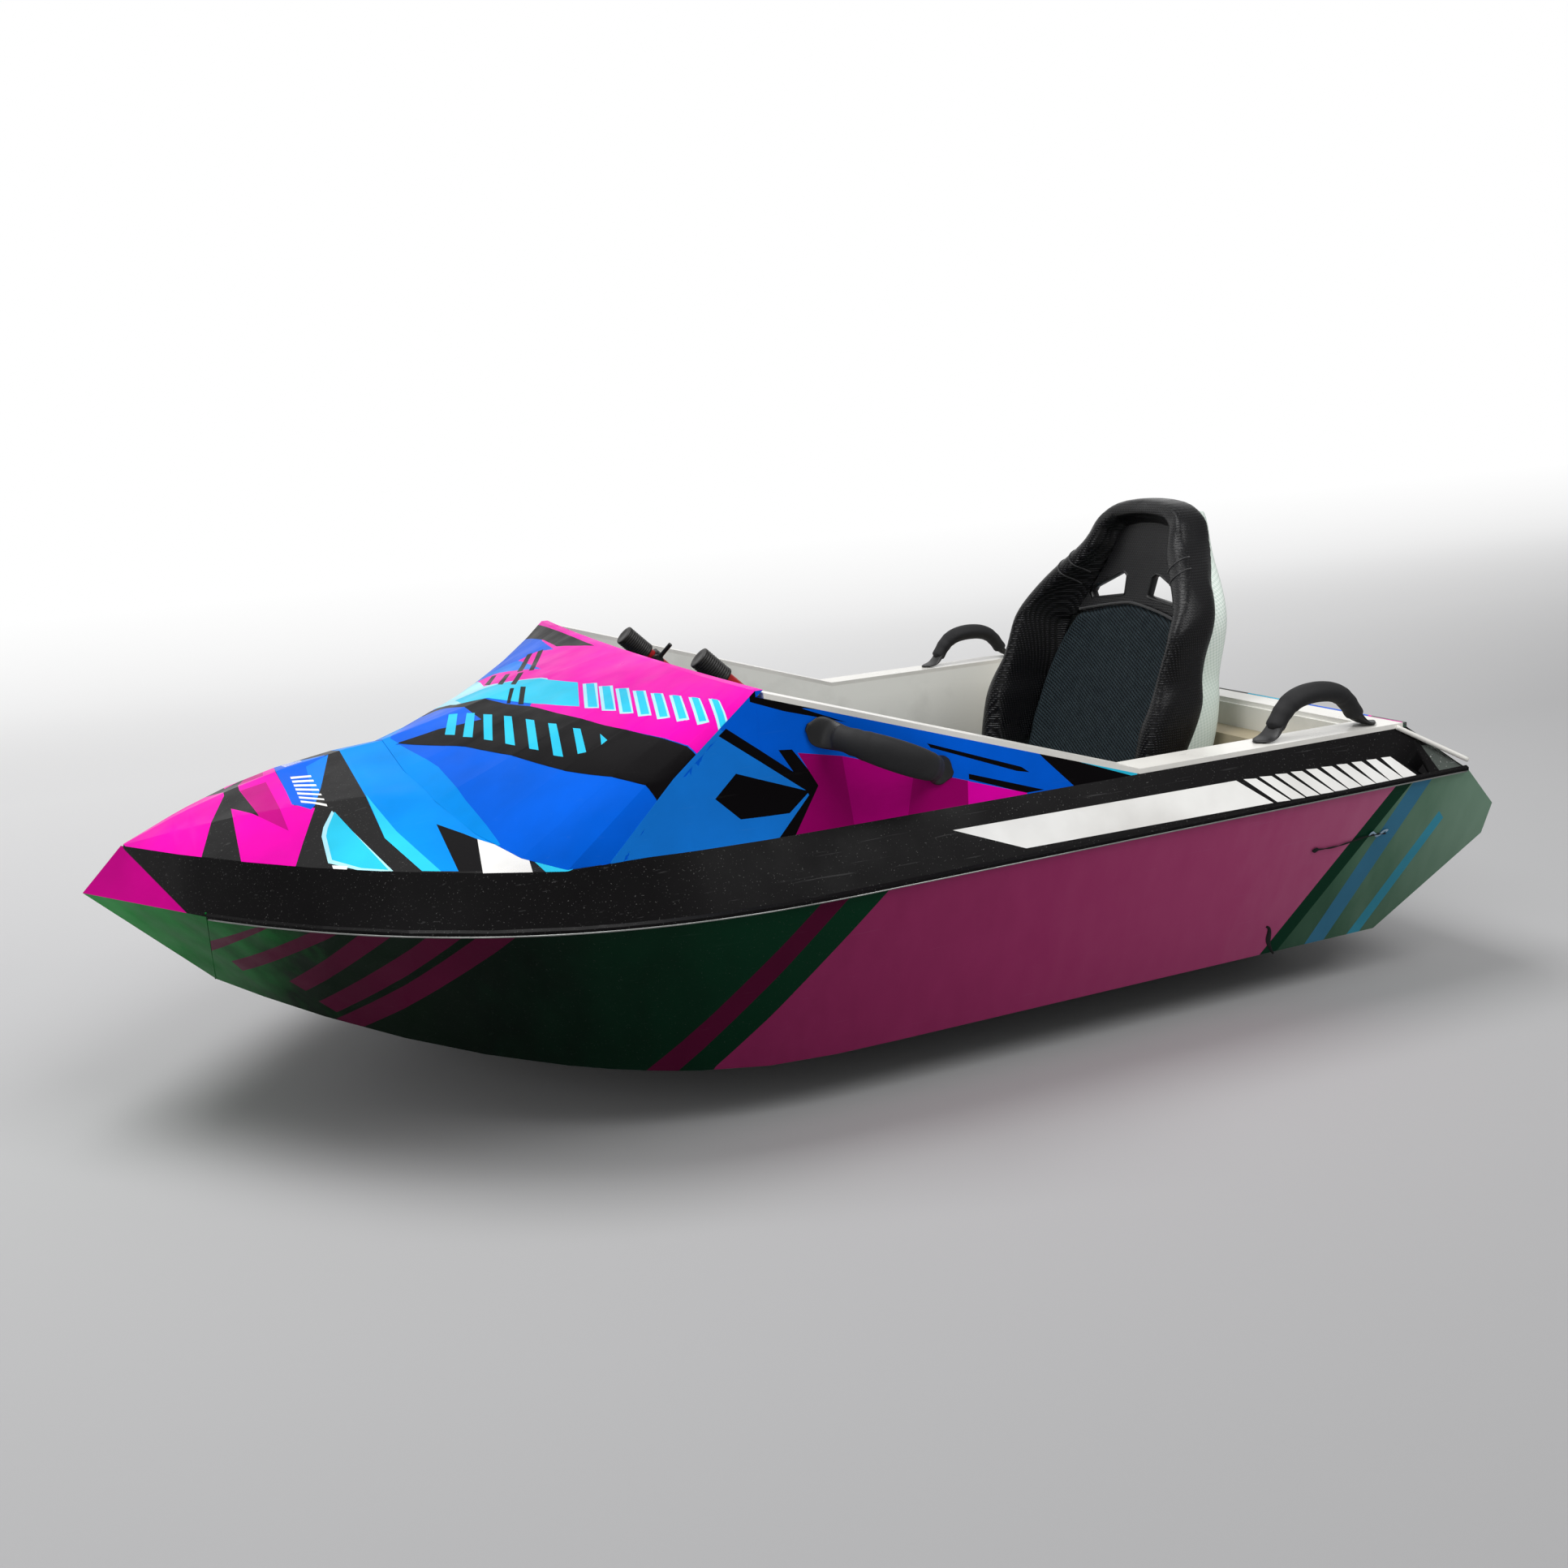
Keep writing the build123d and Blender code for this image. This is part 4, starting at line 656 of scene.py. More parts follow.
BLACK_PANEL = Paint("panel_black", (15, 14, 15), rough=0.38, coat=0.0, scratch=0.24, speck=0.1, gloss=0.10)
SIDE_PAINT = FadedPaint(
    "side_faded", (20, 60, 44), rough=0.4, coat=0.0, scratch=0.03, speck=0.03, gloss=0.05,
    stops=((0.0, (122, 152, 132)), (0.12, (74, 110, 88)), (0.22, (30, 66, 48)), (0.45, (4, 52, 30)),
           (0.62, (3, 44, 26)), (0.76, (2, 16, 8)), (0.86, (6, 26, 12)), (0.93, (8, 104, 40)),
           (1.0, (16, 140, 54))))
STERN_PAINT = Paint("stern_grey_green", (62, 84, 74), rough=0.38, coat=0.05, mottle=0.25, scratch=0.35,
                    speck=0.3)
PLUM = FadedPaint(
    "film_plum", (130, 40, 96), rough=0.38, coat=0.0, scratch=0.08, gloss=0.14, reach=(-0.95, 0.30),
    stops=((0.0, (176, 92, 128)), (0.3, (162, 62, 108)), (0.6, (150, 44, 96)), (1.0, (122, 24, 74))),
    heights=(0.08, 0.36), painted_shades=(0.98, 1.10), streak=(4.0, 3.0, (9.0, 9.0, 0.5), (0, 0, 0)),
    spread=(0.25, 0.05))
WHITE_CAP = Paint("cap_white", (238, 236, 230), rough=0.3, coat=0.3, mottle=0.05, scratch=0.3)
COCKPIT_WHITE = CockpitPaint("cockpit_white", (240, 240, 234), rough=0.36, coat=0.15, scratch=0.3)
# The aft cover's tan tone is painted shade with a painted reflection of a warm floor.
SHADED_COVER_TAN = CockpitPaint("cover_tan", (176, 164, 138), rough=0.42, coat=0.1, scratch=0.3,
                           shaded_low_tint=(150, 136, 112))
BOTTOM_PAINT = Paint("bottom_grey", (58, 62, 64), rough=0.4, coat=0.2, mottle=0.3, scratch=0.6, speck=0.2)
# A pale metal used only for the rub bead, which stands for an edge highlight: painted highlight.
RUB_HIGHLIGHT_METAL = Metal("trim_edge", (150, 152, 150), rough=0.34, brushed=True, pitted=0.15)
CAST = Metal("cast_alloy", (150, 152, 154), rough=0.42, pitted=0.45)
BRIGHT = Metal("stainless", (196, 198, 200), rough=0.2, brushed=True, pitted=0.12)
ENGINE_PAINT = Paint("engine_paint", (44, 48, 54), rough=0.45, coat=0.0, mottle=0.2, scratch=0.4)
CONSOLE_GREY = Paint("console_grey", (120, 122, 124), rough=0.45, coat=0.1, scratch=0.4, speck=0.3)
RED_COAT = Paint("powder_red", (172, 18, 24), rough=0.36, coat=0.2, mottle=0.12, scratch=0.3)
SLEEVE = Rubber("sleeve_foam", (14, 14, 17), rough=0.7, pore=520.0)
GRIP = Rubber("grip_rubber", (30, 28, 27), rough=0.48, pore=900.0)
MOULDING = Rubber("moulded_black", (14, 14, 16), rough=0.42, pore=1100.0)
LEATHER = Leather("seat_leather")
MESH = SpacerMesh("seat_mesh")
TWILL = TwillShell("seat_twill")
THREAD = Thread("seam_thread")

NODE_FINISHES: dict[Finish, tuple[str, ...]] = {
    SIDE_PAINT: ("hull_side_port", "hull_side_starboard", "lower_nose"),
    STERN_PAINT: ("transom_upper",),
    BLACK_PANEL: ("side_band_port", "side_band_starboard", "foredeck", "rub_rail"),
    film(Tint.MAGENTA_SHADE): ("bow_cap",),
    film(Tint.BLUE): ("cowl", "coaming_port", "coaming_starboard"),
    WHITE_CAP: ("gunwale_cap_port", "gunwale_cap_starboard", "transom_cap"),
    COCKPIT_WHITE: ("liner_port", "liner_starboard", "forward_bulkhead", "aft_wall"),
    SHADED_COVER_TAN: ("aft_cover",),
    BOTTOM_PAINT: ("hull_bottom", "transom_lower", "jet_tunnel", "intake_duct"),
    DeckPad("floor_pad"): ("cockpit_floor",),
    CONSOLE_GREY: ("seat_pedestal", "console"),
    CAST: ("engine_beds", "pump_housing", "steering_nozzle", "reverse_bucket", "ride_plate", "intake_grate",
           "yoke_hub"),
    BRIGHT: ("impeller", "steering_column", "seat_rails", "stern_eyes"),
    ENGINE_PAINT: ("engine_block",),
    RED_COAT: ("yoke_tube",),
    MOULDING: ("thumb_throttle",),
}


def dress_nodes() -> None:
    """Gives each carried-over CAD node its finish."""
    for finish, names in NODE_FINISHES.items():
        for name in names:
            node = frame["nodes"][name]
            node.data.materials.clear()
            node.data.materials.append(finish.material())
            log.info("%s: %s", name, finish.name)


# Livery

class View(Enum):
    """Which way a panel's art is laid on it: from above with (x, y), or from the side with (x, z)."""

    TOP = ((0, 1), 2)
    SIDE = ((0, 2), 1)


@dataclass(frozen=True)
class Patch:
    """One flat colour area: its finish and its corners in the panel's own two axes, in millimetres."""

    finish: Finish
    corners: tuple[tuple[float, float], ...]

    def holds(self, points: np.ndarray) -> np.ndarray:
        """Which points lie inside, by counting the outline's crossings to one side."""
        corners = np.array(self.corners, float)
        ahead = np.roll(corners, -1, 0)
        x, y = points[:, :1], points[:, 1:]
        level = (corners[:, 1] > y) != (ahead[:, 1] > y)
        rise = np.where(ahead[:, 1] == corners[:, 1], 1.0, ahead[:, 1] - corners[:, 1])
        cross = corners[:, 0] + (y - corners[:, 1]) / rise * (ahead[:, 0] - corners[:, 0])
        return (level & (x < cross)).sum(1) % 2 == 1


def bars(first: Pairs, last: Pairs, count: int) -> list[tuple[tuple[float, float], ...]]:
    """A row of bars whose corners move evenly from the first bar to the last."""
    start, end = np.array(first, float), np.array(last, float)
    return [tuple(map(tuple, start + (end - start) * part)) for part in np.linspace(0, 1, count)]


def face_normals(points: np.ndarray, corners: np.ndarray) -> np.ndarray:
    """Normals of triangles, each as long as twice its triangle's area."""
    first, second, third = (points[corners[:, at]] for at in range(3))
    return np.cross(second - first, third - first)


@dataclass(frozen=True)
class OuterFace:
    """A panel's outer triangles: points, corner numbers, unit normals, and the points in the view's axes."""

    points: np.ndarray
    triangles: np.ndarray
    normals: np.ndarray
    flat: np.ndarray


@dataclass(frozen=True)
class PaintedPanel:
    """Thin film laid on one outer panel, cut from its patches in painter's order."""

    node: str
    slot: str
    view: View
    patches: tuple[Patch, ...]
    whole: bool = False
    lift: float = 0.35
    thickness: float = 0.25
    batch: int = 1500

    def source(self) -> OuterFace:
        """The panel's outer triangles, from its merged points in millimetres."""
        mesh = frame["nodes"][self.node].data
        mesh.calc_loop_triangles()
        points = np.empty(len(mesh.vertices) * 3, np.float32)
        mesh.vertices.foreach_get("co", points)
        corners = np.empty(len(mesh.loop_triangles) * 3, np.int32)
        mesh.loop_triangles.foreach_get("vertices", corners)
        points = points.reshape(-1, 3).astype(float) / MM
        merged, number = np.unique(np.round(points, 2), axis=0, return_inverse=True)
        triangles = number.ravel()[corners].reshape(-1, 3)
        normal = face_normals(merged, triangles)
        size = np.linalg.norm(normal, axis=1)
        axes, depth = self.view.value
        keep = (size > 1e-3) & (normal[:, depth] > 0.06 * size)
        if not self.whole:
            keep &= merged[triangles].mean(1)[:, 1] > -0.5
        used, triangles = np.unique(triangles[keep], return_inverse=True)
        points = merged[used]
        return OuterFace(points, triangles.reshape(-1, 3), normal[keep] / size[keep, None],
                         points[:, list(axes)])

    def build(self) -> None:
        """Cuts the panel's triangles along the patches' outlines and lifts each piece onto the panel."""
        panel = self.source()
        edges = np.unique(np.sort(panel.triangles[:, [0, 1, 1, 2, 2, 0]].reshape(-1, 2), 1), axis=0)
        spots, lines, count = [panel.flat], [edges], len(panel.flat)
        for patch in self.patches:
            size = len(patch.corners)
            spots.append(np.array(patch.corners, float))
            ring = np.arange(size)
            lines.append(np.stack([ring, (ring + 1) % size], 1) + count)
            count += size
        out = delaunay_2d_cdt([Vector(spot) for spot in np.concatenate(spots)],
                              np.concatenate(lines).tolist(), [], 0, 1e-3, False)
        cut = np.array([list(vertex) for vertex in out[0]])
        faces = np.array([list(face) for face in out[2] if len(face) == 3])
        middle = cut[faces].mean(1)
        owner = self.owners(middle, panel)
        finish = np.full(len(faces), -1)
        for number, patch in enumerate(self.patches):
            finish[patch.holds(middle)] = number
        keep = (owner >= 0) & (finish >= 0)
        faces, owner, finish = faces[keep], owner[keep], finish[keep]
        lifted, outward = self.lifted(cut, faces, owner, panel)
        for side, sign in (("port", 1), ("starboard", -1)):
            if self.whole and sign < 0:
                continue
            self.put(side, sign, lifted, outward, faces, finish)

    def owners(self, middle: np.ndarray, panel: OuterFace) -> np.ndarray:
        """For each spot, the outermost panel triangle over it, or -1."""
        first, second, third = (panel.flat[panel.triangles[:, corner]] for corner in range(3))
        height = panel.points[panel.triangles].mean(1)[:, self.view.value[1]]
        owner = np.full(len(middle), -1)
        for start in range(0, len(middle), self.batch):
            spot = middle[start:start + self.batch, None]

            def side(low: np.ndarray, high: np.ndarray) -> np.ndarray:
                """Which side of an edge each spot is on."""
                run, rise = (high - low).T
                return run * (spot[..., 1] - low[:, 1]) - rise * (spot[..., 0] - low[:, 0])

            signs = np.stack([side(first, second), side(second, third), side(third, first)])
            inside = (signs >= -1e-6).all(0) | (signs <= 1e-6).all(0)
            far = np.where(inside, height, -np.inf)
            owner[start:start + self.batch] = np.where(np.isfinite(far.max(1)), far.argmax(1), -1)
        return owner

    def lifted(self, cut: np.ndarray, faces: np.ndarray, owner: np.ndarray,
               panel: OuterFace) -> tuple[np.ndarray, np.ndarray]:
        """Points of the film: each is put on its triangle's plane, then moved out along the mean normal."""
        axes, depth = list(self.view.value[0]), self.view.value[1]
        anchor, normal = panel.points[panel.triangles[owner, 0]], panel.normals[owner]
        total, weight, outward = np.zeros(len(cut)), np.zeros(len(cut)), np.zeros((len(cut), 3))
        for corner in range(3):
            spot = cut[faces[:, corner]]
            slope = ((spot - anchor[:, axes]) * normal[:, axes]).sum(1)
            np.add.at(total, faces[:, corner], anchor[:, depth] - slope / normal[:, depth])
            np.add.at(weight, faces[:, corner], 1.0)
            np.add.at(outward, faces[:, corner], normal)
        solid = np.empty((len(cut), 3))
        solid[:, axes] = cut
        solid[:, depth] = total / np.maximum(weight, 1)
        outward = unit(outward)
        return solid + outward * self.lift, outward

    def put(self, side: str, sign: int, points: np.ndarray, outward: np.ndarray, faces: np.ndarray,
            finish: np.ndarray) -> None:
        """Makes one side's film piece with a material for each finish."""
        used, number = np.unique(faces, return_inverse=True)
        corners = number.reshape(-1, 3)
        spots = points[used] * [1, sign, 1]
        wrong = (face_normals(spots, corners) * (outward[used] * [1, sign, 1])[corners[:, 0]]).sum(1) < 0
        corners[wrong] = corners[wrong][:, ::-1]
        mesh = bpy.data.meshes.new("film")
        mesh.from_pydata((spots * MM).tolist(), [], corners.tolist())
        kinds = list(dict.fromkeys(patch.finish for patch in self.patches))
        for kind in kinds:
            mesh.materials.append(kind.material())
        lookup = np.array([kinds.index(patch.finish) for patch in self.patches])
        mesh.polygons.foreach_set("material_index", lookup[finish].astype(np.int32))
        mesh.shade_smooth()
        mesh.set_sharp_from_angle(angle=0.35)
        mesh.update()
        name = self.node.replace("_port", "")
        tail = "" if self.whole else f"_{side}"
        piece = place(f"film_{name}{tail}", mesh, None, slot=self.slot)
        add_modifier(piece, "SOLIDIFY", thickness=self.thickness * MM, offset=-1.0)
        add_modifier(piece, "WEIGHTED_NORMAL", weight=80, keep_sharp=True)


def patch(tint: Tint | Finish, *corners: tuple[float, float]) -> Patch:
    """A patch of one of the livery's colours."""
    return Patch(film(tint) if isinstance(tint, Tint) else tint, corners)


def mirrored(item: Patch) -> Patch:
    """The cowl patch's mirror image on the other side."""
    return Patch(item.finish, tuple((x, -y) for x, y in item.corners))


def both(tint: Tint, *corners: tuple[float, float]) -> tuple[Patch, Patch]:
    """A patch on the cowl and its mirror image."""
    port = patch(tint, *corners)
    return port, mirrored(port)


DECK_ART = (
    patch(BLACK_PANEL, (100, -30), (1150, -30), (1150, 640), (100, 640)),
    patch(Tint.BLUE, (612, 345), (571, 415), (544, 445), (514, 487), (463, 547), (422, 570), (400, 570),
          (560, 300)),
    patch(Tint.MAGENTA, (1040, -30), (878, -30), (878, 14), (926, 178), (1025, 28)),
    patch(Tint.MAGENTA, (855, -30), (799, -30), (788, 169), (761, 198), (808, 324), (875, 249), (873, 84),
          (838, 156), (855, 19)),
    # A darker magenta facet of the foredeck: painted shade.
    patch(Tint.MAGENTA_SHADE, (854, 23), (838, 156), (804, 229), (815, 29)),
    patch(Tint.BLUE, (798, -30), (714, -30), (743, 130), (760, 191), (767, 198), (790, 163), (792, 96)),
    patch(Tint.BLUE_SOFT, (752, 23), (714, 1), (743, 130), (760, 191)),
    *(patch(Tint.WHITE, *bar) for bar in bars(((779, 46), (750, 66), (750, 75), (779, 56)),
                                              ((777, 157), (744, 199), (744, 206), (777, 166)), 7)),
    patch(Tint.AZURE, (697, -30), (600, -30), (569, 269), (555, 377), (545, 445), (569, 415), (612, 347),
          (611, 481), (655, 453), (685, 343), (689, 213)),
    patch(Tint.CYAN, (688, 211), (683, 242), (667, 334), (632, 468), (655, 453), (685, 344)),
    patch(Tint.PALE, (740, 222), (690, 431), (727, 402), (766, 350), (764, 279), (758, 257)),
    patch(Tint.CYAN, (737, 227), (695, 424), (727, 394), (760, 346), (758, 282), (753, 264)),
    patch(Tint.WHITE, (762, 359), (743, 376), (746, 384), (762, 370)),
    patch(Tint.BLACK, (612, 347), (569, 415), (583, 497), (611, 482)),
    patch(Tint.WHITE, (569, 415), (516, 484), (522, 535), (583, 505)),
    patch(Tint.CYAN, (516, 489), (462, 548), (485, 552), (504, 545)),
)

COWL_FIELD = (
    *both(Tint.AZURE, (640, -5), (607, 54), (575, 194), (563, 321), (551, 403), (544, 447), (600, 430),
          (660, 200), (660, -5)),
    *both(Tint.MAGENTA, (190, -5), (190, 600), (262, 600), (292, 588), (356, 363), (412, 136), (346, -5)),
    *both(Tint.BLACK, (530, -5), (437, 71), (412, 136), (356, 363), (293, 590), (353, 576), (434, 412),
          (484, 278), (527, 173), (609, 42), (630, -5)),
)
COWL_CREST = (
    patch(Tint.AZURE, (660, -160), (600, -330), (520, -420), (512, -260), (515, -60), (609, 42), (650, 42)),
    patch(Tint.BLUE, (430, -640), (560, -420), (512, -260), (480, -330)),
    patch(Tint.MAGENTA, (190, -640), (190, 60), (340, 60), (412, 0), (430, -230), (430, -640)),
    patch(Tint.BLACK, (515, -391), (480, -100), (437, 71), (412, 136), (434, 180), (527, 173), (609, 42),
          (530, -60)),
    patch(Tint.PALE, (500, -400), (420, -560), (365, -560), (417, -195), (352, 20), (380, 130), (410, 117),
          (486, -102)),
    patch(Tint.CYAN, (470, -200), (400, -130), (327, 118), (360, 241), (410, 117), (480, -80)),
    patch(Tint.BLUE, (215, -640), (255, -400), (272, -249), (288, -317), (321, -332), (334, -96), (372, -330),
          (400, -450), (410, -640)),
    patch(Tint.BLUE_SOFT, (321, -332), (334, -96), (372, -330), (400, -450), (360, -420)),
    patch(Tint.BLACK, (180, -640), (215, -600), (232, -109), (262, -262), (252, -400), (250, -640)),
    patch(Tint.BLUE, (540, -330), (500, -120), (483, 94), (545, 54), (609, 39), (616, 9), (575, -120)),
    *(patch(Tint.BLACK, *bar) for bar in (
        ((286, -312), (278, -301), (342, -119), (348, -133)),
        ((299, -346), (293, -328), (352, -165), (358, -183)),
        ((360, -163), (354, -147), (395, -33), (398, -59)),
        ((370, -225), (365, -205), (403, -101), (405, -132)),
        ((378, -305), (374, -284), (411, -174), (411, -218)),
        ((396, 9), (390, 21), (417, 111), (423, 100)),
        ((409, -11), (406, 4), (431, 78), (435, 71)))),
)
COWL_BARS = (
    *(patch(Tint.PALE, *bar) for bar in bars(((325, 139), (309, 168), (343, 291), (357, 260)),
                                             ((242, 501), (237, 532), (251, 605), (262, 590)), 8)),
    *(patch(Tint.CYAN, *bar) for bar in bars(((321, 146), (313, 164), (343, 283), (352, 262)),
                                             ((240, 508), (237, 526), (252, 596), (258, 586)), 8)),
    *(patch(Tint.CYAN, *bar) for bar in (
        ((518, 7), (506, 19), (530, 109), (542, 89)),
        ((494, 35), (484, 51), (511, 153), (522, 133)),
        ((475, 74), (465, 94), (490, 201), (499, 181)),
        ((453, 126), (445, 145), (469, 260), (478, 235)),
        ((432, 184), (424, 206), (447, 316), (456, 296)),
        ((412, 245), (404, 264), (426, 376), (435, 355)),
        ((391, 311), (384, 327), (399, 405), (409, 395)),
        ((369, 379), (368, 411), (378, 413)))),
)

COAMING_ART = (
    patch(Tint.BLUE, (-500, 420), (500, 420), (500, 700), (-500, 700)),
    patch(Tint.BLUE_SOFT, (440, 430), (425, 470), (262, 615), (142, 520), (110, 430)),
    patch(Tint.BLACK, (215, 670), (84, 632), (-250, 522), (-250, 510), (60, 606), (46, 604), (140, 627),
          (65, 595), (167, 626), (215, 645)),
    patch(Tint.BLUE, (140, 626), (42, 606), (-136, 545), (-231, 508), (-257, 480), (-256, 455), (-224, 440),
          (-60, 540)),
    patch(Tint.BLACK, (-47, 551), (-199, 494), (-212, 484), (-191, 489), (-52, 544)),
    patch(Tint.BLACK, (-111, 497), (-224, 458), (-236, 454), (-204, 454), (-111, 489)),
    patch(Tint.BLACK, (251, 613), (142, 526), (139, 508), (262, 604)),
    patch(Tint.BLACK, (243, 550), (139, 510), (171, 484), (242, 486), (275, 519)),
    patch(Tint.BLACK, (160, 572), (121, 516), (172, 440), (200, 440), (140, 505), (152, 526), (180, 574)),
    patch(Tint.MAGENTA_DEEP, (152, 566), (86, 552), (74, 440), (172, 440), (125, 516)),
    patch(Tint.MAGENTA_SHADE, (86, 552), (-24, 516), (-7, 440), (74, 440)),
    patch(Tint.MAGENTA_DEEP, (-24, 516), (-109, 487), (-107, 440), (-7, 440)),
    patch(Tint.MAGENTA, (-109, 487), (-113, 485), (-206, 454), (-206, 440), (-107, 440)),
    patch(Tint.BLACK, (-231, 508), (-257, 480), (-256, 440), (-420, 440), (-420, 470), (-240, 516)),
    patch(Tint.BLUE, (-222, 516), (-288, 451), (-288, 440), (-239, 440), (-233, 500)),
    patch(Tint.CYAN, (-195, 531), (-253, 513), (-407, 456), (-420, 440), (-390, 452), (-250, 505)),
)

BAND_ART = (
    patch(BLACK_PANEL, (-1200, 300), (1200, 300), (1200, 520), (-1200, 520)),
    patch(Tint.WHITE, (-71, 423), (-177, 383), (-619, 381), (-568, 420)),
    *(patch(Tint.WHITE, *bar) for bar in bars(((-582, 420), (-605, 418), (-652, 380), (-627, 381)),
                                              ((-852, 415), (-871, 414), (-908, 380), (-880, 380)), 10)),
    # A greyer patch at the band's aft end: painted sheen where the band catches the light, with scuffs and
    # specks over it.
    patch(Paint("band_scuffed", (66, 72, 68), rough=0.5, coat=0.05, mottle=0.5, scratch=0.9, speck=0.8),
          (-925, 470), (-1040, 440), (-1012, 360), (-962, 360)),
)

SIDE_ART = (
    patch(SIDE_PAINT, (-1200, 0), (1200, 0), (1200, 420), (-1200, 420)),
    patch(Tint.MAROON, (985, 282), (872, 372), (846, 384), (962, 268)),
    patch(Tint.MAROON, (907, 280), (790, 384), (758, 384), (893, 260)),
    patch(Tint.MAROON, (833, 255), (736, 384), (696, 384), (812, 238)),
    patch(Tint.MAROON, (796, 218), (652, 384), (608, 384), (773, 198)),
    patch(Tint.MAROON, (774, 182), (590, 384), (541, 384), (748, 163)),
    patch(Tint.MAROON, (133, 384), (92, 384), (331, 106), (352, 80), (402, 80)),
    patch(PLUM, (30, 384), (281, 104), (300, 70), (-664, 70), (-872, 384)),
    patch(Tint.FOREST, (-664, 70), (-700, 70), (-905, 384), (-872, 384)),
    patch(Tint.SLATE, (-905, 384), (-945, 384), (-803, 70), (-762, 70)),
    patch(Tint.TEAL, (-981, 305), (-996, 290), (-883, 80), (-856, 80)),
)

STERN_ART = (
    patch(Tint.MAGENTA, (-915, -5), (-1000, -5), (-1000, 70), (-915, 130)),
    patch(Tint.BLACK, (-915, 130), (-1000, 70), (-1000, 190), (-915, 210)),
    patch(Tint.CYAN, (-915, 210), (-1000, 190), (-960, 300), (-915, 330)),
    patch(Tint.BLUE, (-915, 330), (-960, 300), (-1010, 470), (-915, 520)),
    patch(Tint.MAGENTA, (-915, 520), (-1010, 470), (-1010, 660), (-915, 660)),
)


def lay_livery() -> None:
    """Lays the film on each outer panel: shards, bars and stripes of one scheme, the same on both sides."""
    for panel in (
            PaintedPanel("foredeck", "gelcoat_magenta", View.TOP, DECK_ART),
            PaintedPanel("cowl", "gelcoat_magenta", View.TOP,
                         (*COWL_FIELD, *map(mirrored, COWL_BARS), *COWL_CREST, *COWL_BARS), whole=True),
            PaintedPanel("coaming_port", "gelcoat_blue", View.SIDE, COAMING_ART),
            PaintedPanel("side_band_port", "gelcoat_band", View.SIDE, BAND_ART),
            PaintedPanel("hull_side_port", "gelcoat_dark", View.SIDE, SIDE_ART),
            PaintedPanel("transom_upper", "gelcoat_dark", View.TOP, STERN_ART)):
        panel.build()


# Seat

